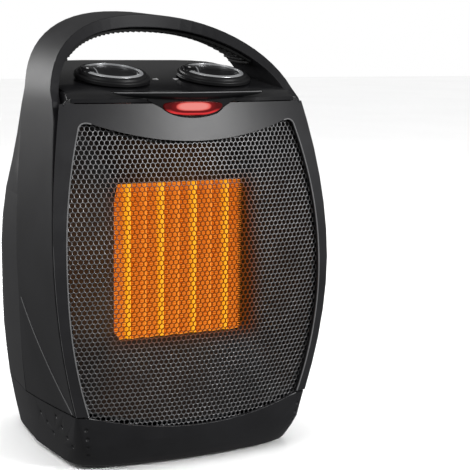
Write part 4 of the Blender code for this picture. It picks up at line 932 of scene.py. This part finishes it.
def lens_with_painted_glow():
    """Deep red clear plastic with the lamp's light painted in it as glow: a pale patch, and a red line
    along its lower edge.
    """
    material, shader, place = blank("red_lens_painted_glow")
    shader.inputs["Base Color"].default_value = (0.06, 0.002, 0.003, 1.0)
    shader.inputs["Roughness"].default_value = 0.14
    apart = node(material, "ShaderNodeSeparateXYZ", Vector=place)
    patch_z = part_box("indicator_lens")[1].z - PATCH_BELOW_TOP

    def worked(operation, first, second=0.0):
        """The result of a sum on two values."""
        return node(material, "ShaderNodeMath", operation=operation, _0=first, _1=second).outputs[0]

    above = worked("SUBTRACT", apart.outputs["Z"], patch_z)
    spread = []
    for off, half, power in ((apart.outputs["X"], LENS_PATCH.x, 3.2), (above, LENS_PATCH.y, 2.4)):
        part = worked("ABSOLUTE", worked("DIVIDE", off, half))
        spread.append(worked("POWER", part, power))
    away = worked("DIVIDE", worked("ADD", spread[0], spread[1]), 6.0)
    haze = node(material, "ShaderNodeTexNoise", Vector=place, Scale=260.0, Detail=3.0).outputs["Fac"]
    haze = node(material, "ShaderNodeMapRange", Value=haze)
    haze.inputs["To Min"].default_value = 0.85
    haze.inputs["To Max"].default_value = 1.15
    away = worked("MULTIPLY", away, haze.outputs["Result"])
    painted_lamp_patch = ramp(
        material, away, (0.06, (0.86, 0.27, 0.24)), (0.13, (0.78, 0.12, 0.10)),
        (0.18, (0.16, 0.004, 0.005)), (0.40, (0.05, 0.001, 0.001)),
    )
    painted_edge_line = ramp(
        material, away, (0.34, (0, 0, 0)), (0.50, (0.70, 0.035, 0.04)),
        (0.66, (0.62, 0.03, 0.03)), (0.85, (0, 0, 0)),
    )
    below = node(material, "ShaderNodeMapRange", Value=above)
    below.inputs["From Min"].default_value = -0.0012
    below.inputs["From Max"].default_value = -0.0030
    lit = node(
        material, "ShaderNodeMix", data_type="RGBA", blend_type="ADD", _0=below.outputs["Result"]
    )
    material.node_tree.links.new(painted_lamp_patch, lit.inputs[6])
    material.node_tree.links.new(painted_edge_line, lit.inputs[7])
    material.node_tree.links.new(lit.outputs[2], shader.inputs["Emission Color"])
    shader.inputs["Emission Strength"].default_value = 0.95
    return material


shell("indicator_lens", "red_lens", lens_with_painted_glow(), 0.0008)
lamp_glass = glow(
    "lamp_glow", (0.9, 0.4, 0.25), (0.9, 0.2, 0.1), (1.0, 0.5, 0.3), (1.0, 0.5, 0.3), 2.0, 300.0
)
shell("indicator_lamp", "neon_lamp", lamp_glass, 0.0)

# Knobs: black moulded caps with a stepped skirt and a dished top, pushed on the switch shafts.
# Each has an open chrome ring let into the top, and a raised pointer that closes the ring's gap.
chrome = drawn_metal(
    "chrome_painted_sheen", (0.86, 0.87, 0.89), (0.95, 0.96, 0.97), 0.30, (1.0, 1.0, 1.0)
)
chrome_shader = chrome.node_tree.nodes["Principled BSDF"]
# the chrome glows faintly white: a painted reflection of the bright studio, on the rings and the
# pointer lines
chrome_shader.inputs["Emission Color"].default_value = (0.9, 0.92, 0.95, 1.0)
chrome_shader.inputs["Emission Strength"].default_value = 0.16
KNOB_X, KNOB_Y = 0.03315, -0.0194
CAP_OUTLINE = (  # radius and height over the panel, from the middle of the dish to the skirt's foot
    (0.0, 0.0041), (0.0090, 0.0042), (0.0135, 0.0043), (0.0155, 0.0045), (0.0160, 0.0047),
    (0.0178, 0.0047), (0.0183, 0.0052), (0.0198, 0.0051), (0.0206, 0.0044), (0.0209, 0.0034),
    (0.0221, 0.0031), (0.0225, 0.0026), (0.0225, 0.0008), (0.0212, 0.0008),
)
RING_R, RING_HALF, RING_FOOT, RING_TOP, RING_RIM = 0.0170, 0.0010, 0.0046, 0.0052, 0.0058
RING_OUTLINE = (
    (RING_R - RING_HALF, RING_FOOT), (RING_R + RING_HALF, RING_FOOT),
    (RING_R + RING_HALF, RING_TOP), (RING_R - RING_HALF, RING_RIM),
)
RING_GAP = radians(27)  # half of the ring's opening
KNOB_EDGE = 0.0002
POINTER_SIZE, POINTER_AT = (0.0085, 0.0150, 0.0030), (0.0147, 0, 0.0044)
POINTER_CORNER, POINTER_EDGE = 0.0034, 0.0007
CHORD_X, CHORD_Z, CHORD_SAG, SAG_AT = 0.0098, 0.0052, 0.0006, 0.007
CHORD_Y = (-0.0085, -0.005, 0, 0.005, 0.0085)
CHORD_R, DOT_R = 0.0003, 0.0009
knob_black = moulded_plastic("knob_black", grey(0.007, 0.001), grey(0.011, 0.001), 0.42, 2600.0, 0.15)


def fill_ends(maker):
    """Close the open edges of a mesh."""
    bmesh.ops.holes_fill(maker, edges=[edge for edge in maker.edges if edge.is_boundary])


for side, body, heading in (
    (-1, "mode_knob", pi - radians(12)), (1, "thermostat_knob", pi - radians(19)),
):
    place = panel_place(side * KNOB_X, KNOB_Y)
    turned = Matrix.Rotation(heading, 3, "Z")
    cap = bmesh.new()
    line = [cap.verts.new((radius, 0.0, z)) for radius, z in CAP_OUTLINE]
    edges = [cap.edges.new(pair) for pair in zip(line, line[1:])]
    bmesh.ops.spin(
        cap, geom=edges, cent=(0, 0, 0), axis=(0, 0, 1), angle=2 * pi, steps=96, use_merge=True
    )
    bmesh.ops.remove_doubles(cap, verts=cap.verts, dist=0.00001)
    fill_ends(cap)
    bmesh.ops.transform(cap, matrix=place, verts=cap.verts)
    bmesh.ops.recalc_face_normals(cap, faces=cap.faces)
    knob = settle(f"{body}_cap", cap, knob_black, body, 28.0)
    round_edges(knob, KNOB_EDGE, 28.0)
    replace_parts(knob, body)
    band = bmesh.new()
    line = [band.verts.new((radius, 0.0, z)) for radius, z in RING_OUTLINE]
    edges = [band.edges.new(pair) for pair in zip(line, line[1:] + line[:1])]
    ring_start = Matrix.Rotation(heading + RING_GAP, 3, "Z")
    bmesh.ops.rotate(band, cent=(0, 0, 0), matrix=ring_start, verts=band.verts)
    bmesh.ops.spin(
        band, geom=edges, cent=(0, 0, 0), axis=(0, 0, 1), angle=2 * pi - 2 * RING_GAP, steps=72,
        use_merge=False,
    )
    fill_ends(band)
    bmesh.ops.transform(band, matrix=place, verts=band.verts)
    bmesh.ops.recalc_face_normals(band, faces=band.faces)
    ring_piece = settle(f"{body}_chrome_ring", band, chrome, body, 40.0)
    round_edges(ring_piece, KNOB_EDGE, 40.0)
    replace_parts(ring_piece, f"{body}_ring")
    pointer = bmesh.new()
    bmesh.ops.create_cube(pointer, size=1.0)
    bmesh.ops.scale(pointer, vec=POINTER_SIZE, verts=pointer.verts)
    rims = [e for e in pointer.edges if abs((e.verts[0].co - e.verts[1].co).z) > 0.001]
    bmesh.ops.bevel(
        pointer, geom=rims, offset=POINTER_CORNER, segments=8, profile=0.5, affect="EDGES",
        material=-1,
    )
    rims = [e for e in pointer.edges if min(vert.co.z for vert in e.verts) > 0.0014]
    bmesh.ops.bevel(
        pointer, geom=rims, offset=POINTER_EDGE, segments=3, profile=0.5, affect="EDGES",
        material=-1,
    )
    bmesh.ops.translate(pointer, vec=POINTER_AT, verts=pointer.verts)
    bmesh.ops.rotate(pointer, cent=(0, 0, 0), matrix=turned, verts=pointer.verts)
    bmesh.ops.transform(pointer, matrix=place, verts=pointer.verts)
    settle(f"{body}_pointer", pointer, gloss_black, body, 30.0)
    chord = []
    for y in CHORD_Y:
        z = CHORD_Z - CHORD_SAG * abs(y) / SAG_AT
        chord.append(place @ (turned @ Vector((CHORD_X, y, z))))
    bead(f"{body}_pointer_line", [chord], CHORD_R, chrome, body)
    # a small flattened dome on the pointer's end, coloured white as a painted highlight
    dot = bmesh.new()
    bmesh.ops.create_uvsphere(dot, u_segments=16, v_segments=8, radius=DOT_R)
    bmesh.ops.scale(dot, vec=(1, 1, 0.35), verts=dot.verts)
    bmesh.ops.translate(dot, vec=turned @ Vector((0.0150, 0, 0.0060)), verts=dot.verts)
    bmesh.ops.transform(dot, matrix=place, verts=dot.verts)
    settle(f"{body}_pointer_dot", dot, white_ink, body, 40.0)
    coat(zinc, f"{body}_shaft")
